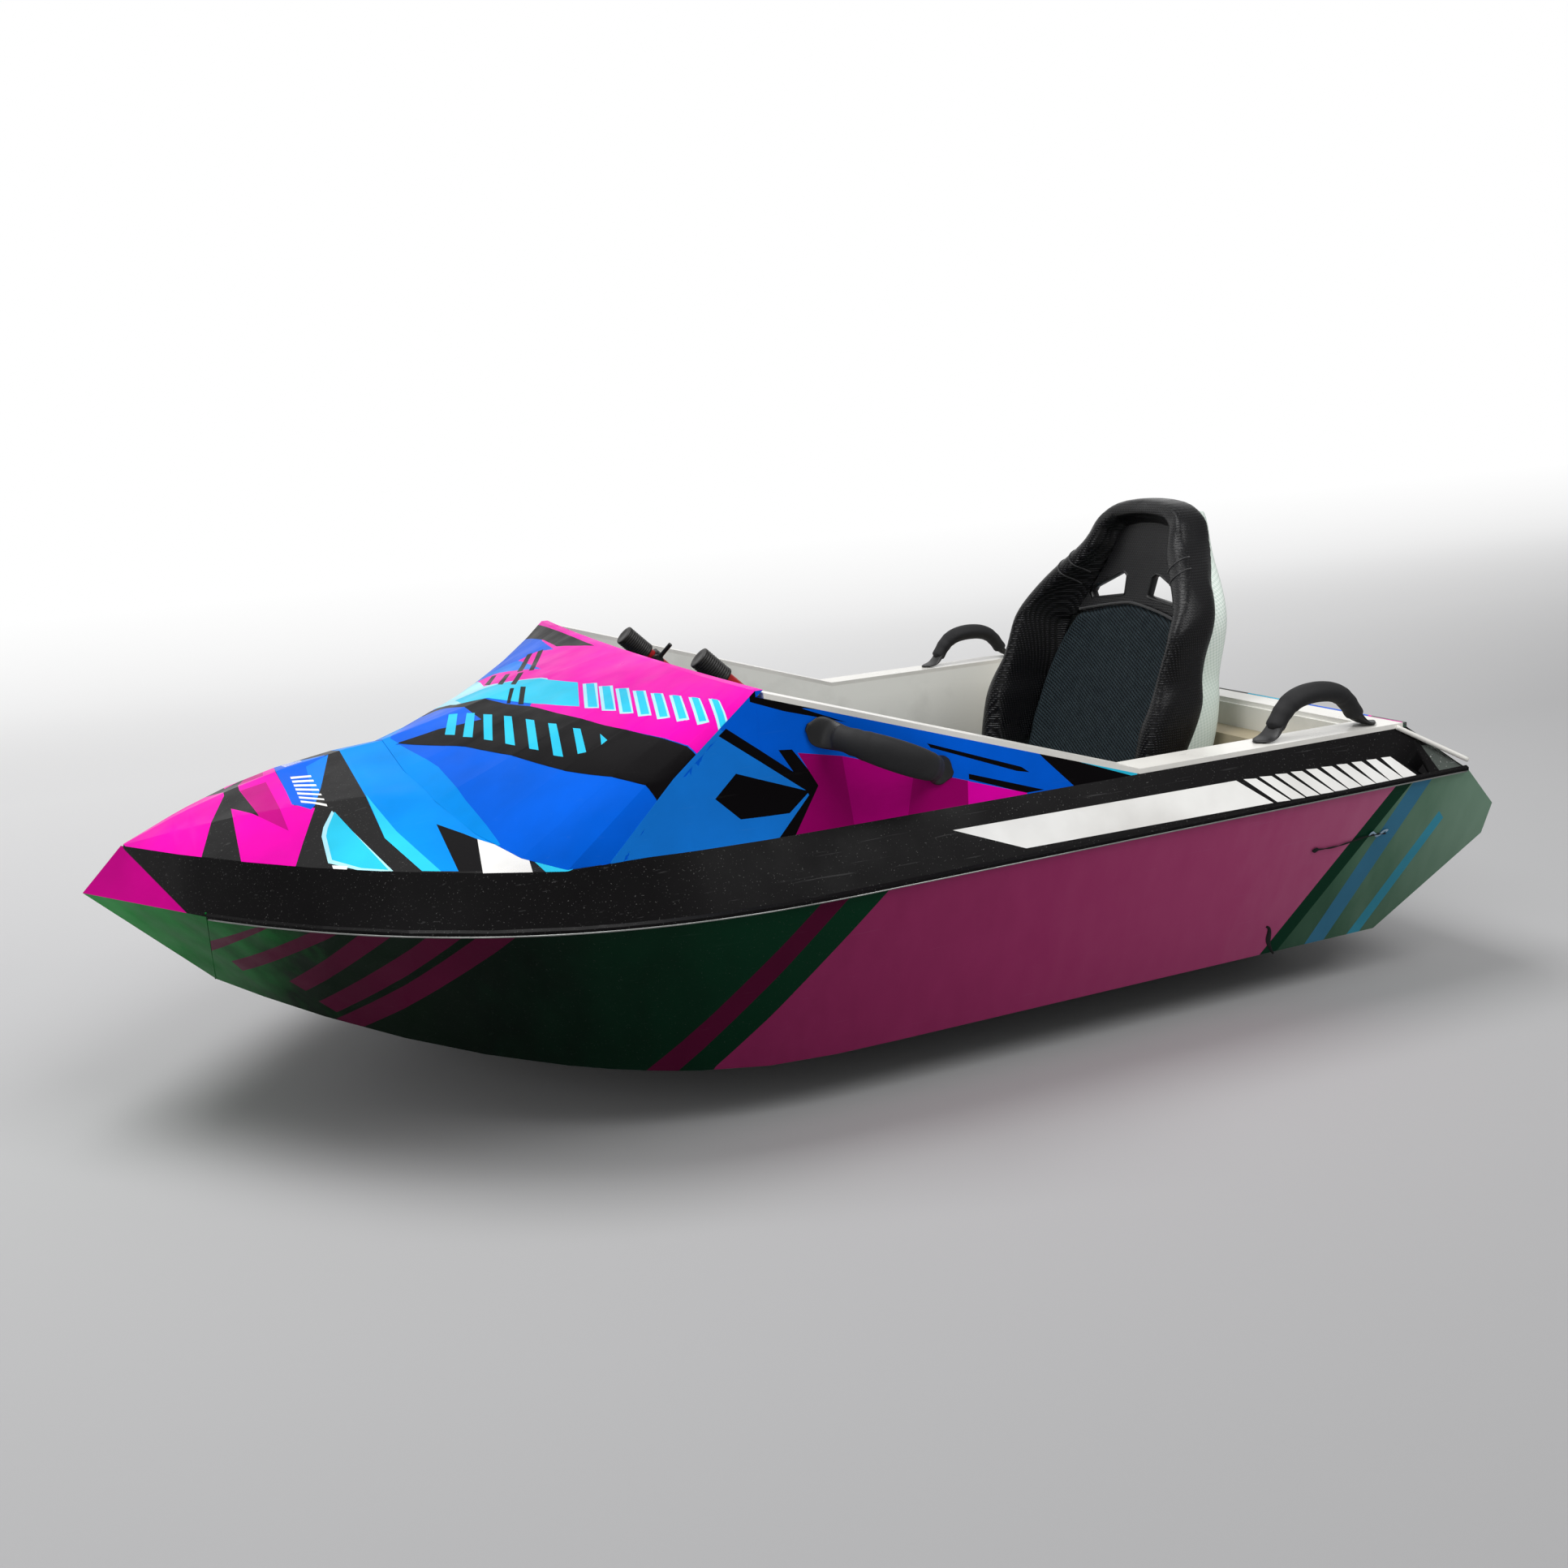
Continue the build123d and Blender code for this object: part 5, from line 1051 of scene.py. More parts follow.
@dataclass(frozen=True)
class BucketSeat:
    """Bucket seat: twill shell, one padded roll round the edge, hide and mesh panels, cushion."""

    base_x: float = -716.0
    lean: float = 0.276
    floor_z: float = 231.0
    heights: tuple[float, ...] = (232, 330, 400, 440, 475, 512, 560, 600, 644, 686, 712, 741, 770, 795, 822)
    halves: tuple[float, ...] = (254, 278, 288, 288, 282, 270, 268, 268, 250, 212, 182, 152, 136, 120, 84)
    crests: tuple[float, ...] = (112, 128, 133, 134, 127, 117, 113, 108, 92, 79, 69, 58, 51, 46, 40)
    backs: tuple[float, ...] = (34, 34, 30, 28, 26, 24, 23, 20, 18, 24, 30, 38, 38, 34, 26)
    sides: tuple[float, ...] = (60, 56, 44, 34, 26, 28, 30, 24, 15, -3, -16, -27, -27, -24, -18)
    reaches: tuple[float, ...] = (56, 56, 58, 60, 56, 54, 66, 84, 92, 84, 70, 54, 46, 42, 38)
    lips: tuple[float, ...] = (20, 24, 26, 25, 19, 13, 11, 12, 16, 18, 19, 18, 17, 16, 15)
    wall: float = 6.0
    slot: tuple[tuple[float, float], ...] = ((36, 639), (40, 676), (52, 683), (66, 681), (145, 649),
                                             (151, 638), (140, 626))
    pan_front: float = -318.0
    ribs: int = 260
    band_height: float = 700.0
    mesh_peak: float = 628.0
    mesh_drop: float = 24.0
    mesh_shoulder: float = 165.0

    def centre(self, z: np.ndarray) -> np.ndarray:
        """Forward place of the seat's middle line at a height: it leans back by a fixed share of the rise."""
        return self.base_x - self.lean * (z - self.heights[0])

    def row(self, z: np.ndarray) -> tuple[np.ndarray, np.ndarray, np.ndarray]:
        """Half-width, crest of the roll and back depth at each height, smooth through the table."""
        xs = np.array(self.heights, float)
        return tuple(hermite(z, xs, np.array(ys, float)) for ys in (self.halves, self.crests, self.backs))

    def net(self, z: np.ndarray, section: Callable[..., list[tuple[object, object]]]) -> np.ndarray:
        """Control net: the section's (forward, across) points at each height."""
        return np.stack([np.stack(np.broadcast_arrays(self.centre(z) + x, y, z), -1)
                         for x, y in section(*self.row(z))], 1)

    def shell(self) -> None:
        """Shell: side skirts rolled round a rear edge, and a middle wall set forward of it."""
        def section(half: np.ndarray, crest: np.ndarray, back: np.ndarray) -> list[tuple[object, object]]:
            port = [(crest * 0.5, half - 3), (crest * 0.25, half - 1), (0, half), (-back * 0.8, half - 4),
                    (-back - 3, half - 14), (-back, half - 30), (-back * 0.6, half - 44), (-12, half - 66),
                    (-9, half * 0.42)]
            return port + [(-9, half * 0)] + [(x, -y) for x, y in reversed(port)]

        z = np.array([232, 262, 300, 330, 365, 400, 440, 475, 495, 512, 535, 570, 600, 625, 644, 665, 686,
                      712, 741, 762, 778, 790, 796])
        net = self.net(z, section)
        grid = np.einsum("ir,rcd,jc->ijd", spline_weights(len(z), 72), net, spline_weights(net.shape[1], 96))
        piece = place("seat_shell_moulding", skin(grid), TWILL, slot="seat_carbon", replaces=("seat_shell",))
        self.cut_slots(piece)
        self.tray()

    def cut_slots(self, piece: bpy.types.Object) -> None:
        """Gives the shell its wall and cuts the two harness slots through it."""
        add_modifier(piece, "SOLIDIFY", thickness=self.wall * MM, offset=-1.0)
        for sign in (1, -1):
            outline = np.array(self.slot, float) * [sign, 1]
            x = np.array([-1000.0, -740.0])
            points = np.concatenate([np.column_stack([np.full(len(outline), at), outline]) for at in x])
            work = bmesh.new()
            for point in points:
                work.verts.new(point * MM)
            bmesh.ops.convex_hull(work, input=work.verts)
            bmesh.ops.recalc_face_normals(work, faces=work.faces)
            mesh = bpy.data.meshes.new("slot_tool")
            work.to_mesh(mesh)
            work.free()
            tool = bpy.data.objects.new("slot_tool", mesh)
            bpy.context.scene.collection.objects.link(tool)
            add_modifier(piece, "BOOLEAN", object=tool, operation="DIFFERENCE", solver="EXACT")
        made = evaluated(piece)
        piece.modifiers.clear()
        piece.data = made
        made.name = "seat_shell_moulding"
        made.shade_smooth()
        made.set_sharp_from_angle(angle=0.6)
        for tool in [item for item in bpy.data.objects if item.name.startswith("slot_tool")]:
            bpy.data.objects.remove(tool)

    def tray(self) -> None:
        """Pan under the cushion: a rounded U-shaped section, its sides a little lower in front."""
        x = np.linspace(-742, self.pan_front, 24)
        rise = np.interp(x, (-742, -378, self.pan_front), (66, 66, 52))
        half = 249.0
        low = self.floor_z + 3
        section = [(half, low + rise), (half, low + rise * 0.6), (half, low + rise * 0.25), (half, low),
                   (half - 22, low), (half * 0.5, low)]
        section += [(-y, z) for y, z in reversed(section)]
        net = np.stack([np.stack(np.broadcast_arrays(x, y, z), -1) for y, z in section], 1)
        grid = np.einsum("rcd,jc->rjd", net, spline_weights(len(section), 48))
        piece = place("seat_pan_moulding", skin(grid), TWILL, slot="seat_carbon")
        add_modifier(piece, "SOLIDIFY", thickness=5 * MM, offset=1.0)

    def table(self, z: np.ndarray, values: tuple[float, ...]) -> np.ndarray:
        """One column of the seat's table, read smoothly at each height."""
        return hermite(z, np.array(self.heights, float), np.array(values, float))

    def rim_points(self, count: int) -> tuple[np.ndarray, np.ndarray]:
        """Ribs of the padded rim and their local frames.

        The rim follows the seat's outline up one side, over the head and down the other. Each rib lies in
        the plane of the outline's inward direction and the seat's forward direction: a thin leather side,
        a rounded lip at the front, and a hollow slope down to the back panel.

        Args:
            count: number of ribs.

        Returns:
            Ribs by points by 3, and ribs by (y, z) of the outline itself.
        """
        z = np.array([286, 300, 320, 345, 370, 400, 425, 445, 462, 478, 494, 512, 535, 560, 582, 602, 624,
                      646, 668, 690, 712, 734, 750, 768, 784], float)
        side = np.stack([self.table(z, self.halves), z], -1)
        top = np.array([(110, 799), (90, 810), (62, 816), (30, 818.5), (0, 819)])
        port = np.concatenate([side, top])
        level = np.concatenate([z, np.interp(np.arange(5), (0, 4), (806, 822))])
        sizes = np.stack([self.table(level, values)
                          for values in (self.crests, self.sides, self.reaches, self.lips)], -1)
        outline = doubled(port)
        sizes = np.concatenate([sizes, sizes[-2::-1]])
        weights = spline_weights(len(outline), count)
        outline, sizes = weights @ outline, weights @ sizes
        along = unit(np.gradient(outline, axis=0))
        outward = np.stack([along[:, 1], -along[:, 0]], -1)
        crest, back, reach, lip = sizes.T
        foot = 10.0
        inner = [(4 - 2 * lip, crest - 1.1 * lip)]
        for part in (0.3, 0.6, 0.85):
            inner.append((4 - 2 * lip - (reach + 4 - 2 * lip) * part,
                          foot + (crest - 1.1 * lip - foot) * (1 - part) ** 1.7))
        section = [(-6, back - 8), (3, back), (5, (back + crest) / 2), (5, crest - lip),
                   (3, crest - 0.3 * lip), (4 - lip, crest + 2), (4 - 1.7 * lip, crest - 0.3 * lip), *inner,
                   (-reach, foot), (-reach - 6, 1), (-reach, -5), (-reach * 0.5, -5),
                   (-16, np.minimum(back, 0) - 4)]
        across, ahead = (np.stack([np.broadcast_to(part, crest.shape) for part in parts], -1).astype(float)
                         for parts in zip(*section))
        ends = np.clip(np.minimum(np.arange(count), np.arange(count)[::-1]) / 6.0, 0.05, 1.0)[:, None]
        middle_a, middle_b = across.mean(1, keepdims=True), ahead.mean(1, keepdims=True)
        across, ahead = middle_a + (across - middle_a) * ends, middle_b + (ahead - middle_b) * ends
        round_it = ring_weights(len(section), 64)
        across, ahead = across @ round_it.T, ahead @ round_it.T
        flat = outline[:, None] + outward[:, None] * across[..., None]
        return np.stack([self.centre(flat[..., 1]) + ahead, flat[..., 0], flat[..., 1]], -1), outline

    def roll(self) -> bpy.types.Object:
        """Padded rim round the seat's edge: fuller at hips and shoulders, thin at the waist."""
        grid, _ = self.rim_points(self.ribs)
        ends = [np.broadcast_to(grid[at].mean(0), (1, *grid.shape[1:])) for at in (0, -1)]
        grid = np.concatenate([ends[0], grid, ends[1]])
        piece = place_tube("seat_edge_roll", grid, LEATHER, "seat_leather",
                           replaces=("seat_bolsters", "seat_head_pad"))
        Padding(piece, voxel=5.0, cap=3.0, fill=0.85).swell()
        return piece

    def roll_seams(self, rim: bpy.types.Object) -> None:
        """Two sewn bands round the rim on each side, below the head, laid on the swollen hide."""
        made = evaluated(rim)
        hide = BVHTree.FromPolygons([vertex.co for vertex in made.vertices],
                                    [face.vertices for face in made.polygons])
        bpy.data.meshes.remove(made)
        grid, outline = self.rim_points(self.ribs)
        low = int(np.argmin(np.abs(outline[:self.ribs // 2, 1] - self.band_height)))
        last = self.ribs - 1 - low
        for number, at in enumerate((low, low + 4, last, last - 4)):
            nearest = [hide.find_nearest(Vector(spot * MM)) for spot in grid[at, 10:36]]
            path = np.array([np.array(hit[0]) / MM + np.array(hit[1]) * 0.5 for hit in nearest])
            path = spline_weights(len(path), 40) @ path
            size = np.full(len(path), 1.3)
            grid_of_band = swept(path, size, size, np.array([0.1, 0.35, 0.93]), 8)
            place_tube(f"seat_sewn_band_{number}", grid_of_band, THREAD, "seat_leather")

    def hide_panel(self) -> None:
        """Hide inside the rim above the mesh: a sheet cut round both slots, low edge on the mesh's top."""
        z = np.array([612, 630, 650, 670, 690, 712, 734, 752, 768], float)
        reach = self.table(z, self.halves) - self.table(z, self.reaches) + 16
        side = np.stack([reach, z], -1)
        low = [(y, 596 + 24 * (1 - abs(y) / 180)) for y in (150, 100, 50, 0, -50, -100, -150)]
        outline = [*map(tuple, side), (60, 790), (-60, 790), *((-y, height) for y, height in side[::-1]),
                   *reversed(low)]
        rings = [outline, list(self.slot), [(-y, height) for y, height in self.slot]]
        grid_y, grid_z = np.meshgrid(np.linspace(-190, 190, 39), np.linspace(604, 796, 21))
        spots = [Vector(spot) for spot in np.column_stack([grid_y.ravel(), grid_z.ravel()])]
        lines, count = [], len(spots)
        for ring in rings:
            spots += [Vector(corner) for corner in ring]
            lines += [(count + step, count + (step + 1) % len(ring)) for step in range(len(ring))]
            count += len(ring)
        out = delaunay_2d_cdt(spots, lines, [], 0, 1e-3, False)
        flat = np.array([list(spot) for spot in out[0]])
        faces = np.array([list(face) for face in out[2]])
        middle = flat[faces].mean(1)
        keep = Patch(LEATHER, tuple(outline)).holds(middle)
        for ring in rings[1:]:
            keep &= ~Patch(LEATHER, tuple(ring)).holds(middle)
        points = np.column_stack([self.centre(flat[:, 1]) + 5 + 10 * (np.abs(flat[:, 0]) / 180) ** 3, flat])
        mesh = polygons(points, faces[keep], False)
        piece = place("seat_hide_panel", mesh, LEATHER, slot="seat_leather")
        add_modifier(piece, "SOLIDIFY", thickness=9 * MM,
                     offset=-1.0 if mesh.polygons[0].normal.x > 0 else 1.0)
        add_modifier(piece, "BEVEL", width=2 * MM, segments=3, limit_method="ANGLE", angle_limit=0.9)
        add_modifier(piece, "WEIGHTED_NORMAL", weight=60)

    def slot_rims(self) -> None:
        """Moulded rims of the harness slots: a flattened bead round each opening."""
        for name, sign in (("port", 1), ("starboard", -1)):
            corners = np.array(self.slot, float) * [sign, 1]
            dense = np.concatenate([np.linspace(spot, after, 8, endpoint=False)
                                    for spot, after in zip(corners, np.roll(corners, -1, 0))])
            path = ring_weights(len(dense), 90) @ dense
            ring = np.column_stack([self.centre(path[:, 1]) - 2, path])
            side = np.cross(unit(np.roll(ring, -1, 0) - np.roll(ring, 1, 0)), [1.0, 0, 0])
            turn = np.linspace(0, 2 * np.pi, 12, endpoint=False)[:, None]
            grid = (ring[:, None] + side[:, None] * (3.6 * np.cos(turn))
                    + np.array([1.0, 0, 0]) * (9.0 * np.sin(turn)))
            grid = np.concatenate([grid, grid[:1]])
            place_tube(f"seat_slot_rim_{name}", grid, MOULDING, "seat_leather")

    def mesh_top(self, y: np.ndarray) -> np.ndarray:
        """Height of the mesh panel's top edge: a peak in the middle that drops to both sides."""
        return self.mesh_peak - self.mesh_drop * (np.abs(y) / self.mesh_shoulder) ** 1.3

    def back_mesh(self) -> None:
        """Mesh back panel: a crowned pad inside the rim, peaked between the slots, with piping on top."""
        rise = np.array([0, 0.02, 0.07, 0.17, 0.3, 0.45, 0.6, 0.75, 0.87, 0.95, 0.985, 1.0])[:, None]
        part = np.linspace(-1, 1, 17)
        shoulder = np.interp(rise, (0, 0.3, 0.6, 0.8, 0.92, 1.0), (222, 232, 226, 208, 186, 158))
        y = shoulder * part
        z = 290 + (self.mesh_top(y) - 290) * rise
        front = self.centre(z) + np.interp(z, (300, 400, 500, 600), (32, 24, 15, 9)) + 16 * np.abs(part) ** 6
        front_net = np.stack([front, y, z], -1)
        net = np.concatenate([front_net, front_net[:, ::-1] - [11.0, 0, 0]], 1)
        middle = net.mean(1, keepdims=True)
        draw = np.ones((len(rise), 1, 1))
        draw[0] = 0.0
        net = middle + (net - middle) * draw
        net[-1, :, 0] = net[-1, :, 0].mean()
        grid = np.einsum("ir,rcd,jc->ijd", spline_weights(len(rise), 76), net,
                         ring_weights(net.shape[1], 110))
        grid[-1, :, 0] = grid[-1, :, 0].mean()
        piece = place_tube("seat_mesh_back", grid, MESH, "seat_mesh", replaces=("seat_back_pad",))
        Padding(piece, voxel=4.0, cap=3.0, fill=0.6).swell()
        y = np.linspace(-158, 158, 80)
        height = self.mesh_top(y)
        top = np.stack([self.centre(height) + 13 + 6 * (np.abs(y) / 158) ** 4, y, height], -1)
        grid = swept(top, np.full(80, 2.6), np.full(80, 2.8), np.array([1.0, 0.0, 0.2]), 12)
        place_tube("seat_mesh_piping", grid, THREAD, "seat_leather")

    def cushion(self) -> None:
        """Seat cushion: a crowned closed form with drawn-in sides, front edge rolled down."""
        across, along = np.meshgrid(np.linspace(-1, 1, 11), np.linspace(-1, 1, 11))
        half, length, thick = 204.0, 160.0, 24.0
        waist = 1 - 0.03 * (1 - across ** 2) * np.abs(along) ** 4
        top_z = 262 + thick * (1 - 0.35 * across ** 4 - 0.25 * along ** 4)
        x = -503 + length * along * (1 - 0.02 * (1 - across ** 2))
        y = half * across * waist
        rim = (top_z + 241) / 2
        edge = (np.abs(across) > 0.99) | (np.abs(along) > 0.99)
        sheets = [np.stack([x, y, np.where(edge, rim, height)], -1)
                  for height in (top_z, np.full_like(x, 241.0))]
        weights = spline_weights(11, 48)
        points = np.concatenate([np.einsum("ir,rcd,jc->ijd", weights, sheet, weights).reshape(-1, 3)
                                 for sheet in sheets])
        index = np.arange(48 * 48).reshape(48, 48)
        face = np.stack([index[:-1, :-1], index[1:, :-1], index[1:, 1:], index[:-1, 1:]], -1).reshape(-1, 4)
        mesh = polygons(points, np.concatenate([face, face + 48 * 48]), True)
        piece = place("seat_cushion_pad", mesh, LEATHER, slot="seat_leather", replaces=("seat_cushion",))
        Padding(piece, voxel=5.0, cap=7.0, fill=0.7).swell()

    def build(self) -> None:
        """Builds the seat from the shell out."""
        self.shell()
        self.roll_seams(self.roll())
        self.hide_panel()
        self.slot_rims()
        self.back_mesh()
        self.cushion()


@dataclass(frozen=True)
class Padding:
    """Attributes:
        piece: the closed form.
        voxel: size of its remeshed faces, in millimetres.
        cap: how far a point may move, in millimetres.
        pressure: inner pressure of the cloth.
        frames: length of the cloth run.
    """

    piece: bpy.types.Object
    voxel: float
    cap: float
    fill: float
    pressure: float = 4.0
    frames: int = 20

    def swell(self) -> None:
        """Remeshes, inflates with Cloth and keeps each point within the cap of where it started."""
        piece = self.piece
        add_modifier(piece, "REMESH", mode="VOXEL", voxel_size=self.voxel * MM, use_smooth_shade=True)
        self.keep(evaluated(piece))
        self.inflate()
        add_modifier(piece, "SMOOTH", factor=0.5, iterations=3)
        self.keep(evaluated(piece))
        add_modifier(piece, "SUBSURF", levels=1, render_levels=1)

    def keep(self, mesh: bpy.types.Mesh) -> None:
        """Takes a mesh as the piece's own and clears the modifiers that made it."""
        self.piece.modifiers.clear()
        self.piece.data = mesh
        mesh.name = self.piece.name
        mesh.shade_smooth()

    def inflate(self) -> None:
        """Runs cloth under inner pressure with gravity off."""
        piece, scene = self.piece, bpy.context.scene
        start = np.empty(len(piece.data.vertices) * 3, np.float32)
        piece.data.vertices.foreach_get("co", start)
        cloth = add_modifier(piece, "CLOTH")
        cloth.settings.use_pressure = True
        cloth.settings.uniform_pressure_force = self.pressure
        cloth.settings.effector_weights.gravity = 0.0
        cloth.settings.quality = 5
        cloth.collision_settings.use_collision = False
        cloth.point_cache.frame_start, cloth.point_cache.frame_end = 1, self.frames
        for number in range(1, self.frames + 1):
            scene.frame_set(number)
        mesh = evaluated(piece)
        scene.frame_set(1)
        end = np.empty_like(start)
        mesh.vertices.foreach_get("co", end)
        move = (end - start).reshape(-1, 3)
        size = np.maximum(np.linalg.norm(move, axis=1), 1e-9)
        move *= np.minimum(1.0, self.cap * MM / size)[:, None]
        mesh.vertices.foreach_set("co", start + move.ravel())
        self.keep(mesh)


# Handles and steering

@dataclass(frozen=True)
class GrabHandle:
    """Grab handle: a strap that rises from two flat leaf-shaped feet, with a padded sleeve round its loop."""

    name: str
    origin: tuple[float, float, float]
    along: tuple[float, float, float]
    out: tuple[float, float, float]

    def frame(self) -> np.ndarray:
        """Rows of the handle's own axes in the boat's frame: along, across, outward."""
        along, out = unit(np.array([self.along, self.out], float))
        return np.stack([along, np.cross(out, along), out])

    def to_boat(self, grid: np.ndarray) -> np.ndarray:
        """Carries points from the handle's own axes to the boat."""
        return grid @ self.frame() + np.array(self.origin)

    def loop(self, half: Pairs, count: int) -> np.ndarray:
        """Smooth line in the handle's upright plane, from the controls of its aft half."""
        controls = doubled(np.array(half, float))
        path = spline_weights(len(controls), count) @ controls
        return np.stack([path[:, 0], np.zeros(count), path[:, 1]], -1)

    def strap(self) -> np.ndarray:
        """Strap: it runs flat over the foot, climbs and crosses; its section goes from leaf to round."""
        path = self.loop([(-121, 2.4), (-114, 2.8), (-104, 3.4), (-92, 7), (-80, 20), (-68, 40), (-52, 56),
                          (-30, 65), (0, 68)], 96)
        run = np.abs(path[:, 0])
        wide = np.interp(run, (0, 60, 76, 88, 100, 110, 117, 121), (13, 15, 18, 21, 22, 19, 11, 1.5))
        high = np.interp(run, (0, 60, 74, 84, 96, 121), (11.0, 10.0, 8.5, 6.0, 3.6, 2.4))
        smooth = np.ones(5) / 5
        wide = np.convolve(np.pad(wide, 2, "edge"), smooth, "valid")
        high = np.convolve(np.pad(high, 2, "edge"), smooth, "valid")
        return swept(path, wide, high, np.array([0.0, 0.0, 1.0]) + 1e-4, 24)

    def sleeve(self) -> np.ndarray:
        """Padded sleeve: a fuller tube over the loop, drawn in at its hems, with soft folds at the bends."""
        path = self.loop([(-84, 16), (-76, 28), (-66, 43), (-50, 57), (-30, 65), (0, 68)], 110)
        part = np.linspace(-1, 1, len(path))
        radius = 20.0 + 2.6 * np.cos(part * np.pi * 0.9) - 0.4 * np.cos(part * 30) * (np.abs(part) > 0.45)
        radius *= np.clip((1 - np.abs(part)) / 0.04, 0.0, 1.0) ** 0.4
        radius = np.maximum(radius, 10.0)
        return swept(path, radius, radius * 0.74, np.array([0.0, 0.0, 1.0]) + 1e-4, 28)

    def build(self) -> None:
        """Makes the strap and the sleeve, and stands for the CAD handle."""
        place_tube(f"{self.name}_strap", self.to_boat(self.strap()), MOULDING, "grip_rubber",
                   replaces=(self.name,))
        place_tube(f"{self.name}_sleeve", self.to_boat(self.sleeve()), SLEEVE, "grip_rubber")


def handles() -> list[GrabHandle]:
    """The four grab handles: two on the gunwale aft, two on the coaming's outer face."""
    found = []
    for side, sign in (("port", 1.0), ("starboard", -1.0)):
        found.append(GrabHandle(f"handle_aft_{side}", (-766.0, 566.0 * sign, 460.0), (1, 0, 0), (0, 0, 1)))
        found.append(GrabHandle(f"handle_fore_{side}", (27.0, 594.83 * sign, 550.48),
                                (0.91146, -0.0104 * sign, 0.41127),
                                (0, 0.99968 * sign, 0.02528)))
    return found


@dataclass(frozen=True)
class SteeringYoke:
    """The grips at the ends of the steering yoke."""

    hub: tuple[float, float, float] = (58.0, 0.0, 567.0)
    half: float = 204.0
    reach: float = 126.0

    def build(self) -> None:
        """Turned grips: a domed end, a flange and a row of shallow ribs."""
        lean = np.array([0.7071, 0, 0.7071])
        for side, sign in (("port", 1.0), ("starboard", -1.0)):
            end = np.array(self.hub) + [0, sign * self.half, 0] + lean * self.reach
            corner = np.array(self.hub) + [0, sign * 208.0, 0] - lean * 22.0
            arm = unit(corner - end)
            run = np.linspace(4.0, 50.0, 70)
            ribs = 18.2 + 0.8 * np.sign(np.sin(run * 1.45)) * np.abs(np.sin(run * 1.45)) ** 0.4
            profile = [(0.6, 0.0), (0.6, 9.0), (0.0, 10.0), (0.0, 16.5), (0.8, 18.4), (3.0, 19.0),
                       *zip(run, ribs), (51.0, 19.0), (54.5, 19.0), (56.0, 17.6), (56.0, 14.2), (20.0, 14.1)]
            grid = turned(profile, end - arm * 4.0, arm, 56)
            place(f"grip_{side}_ribbed", skin(grid, ring=True), GRIP, body="yoke", slot="grip_rubber",
                  replaces=(f"grip_{side}",))


# Trim and fastenings

@dataclass(frozen=True)
class HullLines:
    """The hull's edge lines, repeated from the model's formulas, for trim that follows them."""

    beam_half: float = 645.0

    def bead(self, name: str, path: np.ndarray, radius: float, finish: Finish, slot: str) -> None:
        """A thin bead along a line, on both sides of the boat."""
        size = np.full(len(path), radius)
        for side, sign in (("port", 1), ("starboard", -1)):
            grid = swept(path * [1, sign, 1], size, size, np.array([0.05, 0.1, 1.0]), 8)
            place_tube(f"{name}_{side}", grid, finish, slot)

    def rub_line(self, x: np.ndarray) -> np.ndarray:
        """The rub line: full aft of 100, narrowing with the 2.5th power, rising to both ends."""
        ahead = np.clip((x - 100) / 1000, 0, 1)
        behind = np.clip((100 - x) / 1200, 0, 1)
        return np.stack([x, self.beam_half * (1 - ahead ** 2.5), 368 + 23 * ahead ** 2 + 10 * behind], -1)

    def build(self) -> None:
        """White edging at the stern's upper corner, a pale bead under the band as a painted highlight along
        the rub line, and a seam at the nose.
        """
        stern = np.linspace((-905, 598.5, 455.0), (-1012, 645.5, 392.0), 24)
        self.bead("stern_edging", stern, 4.0, WHITE_CAP, "gelcoat_white")
        # painted highlight: a thin pale bead along the rub line stands for the light caught on that edge
        rub = self.rub_line(np.linspace(-1008, 930, 160)) + [0, 3.6, -3.0]
        self.bead("rub_bead", rub, 1.2, RUB_HIGHLIGHT_METAL, "trim_light")
        nose = np.linspace((932.5, 2.0, 219.5), (932.5, 235.5, 389.0), 20)
        self.bead("nose_seam", nose, 1.5, SIDE_PAINT, "gelcoat_dark")


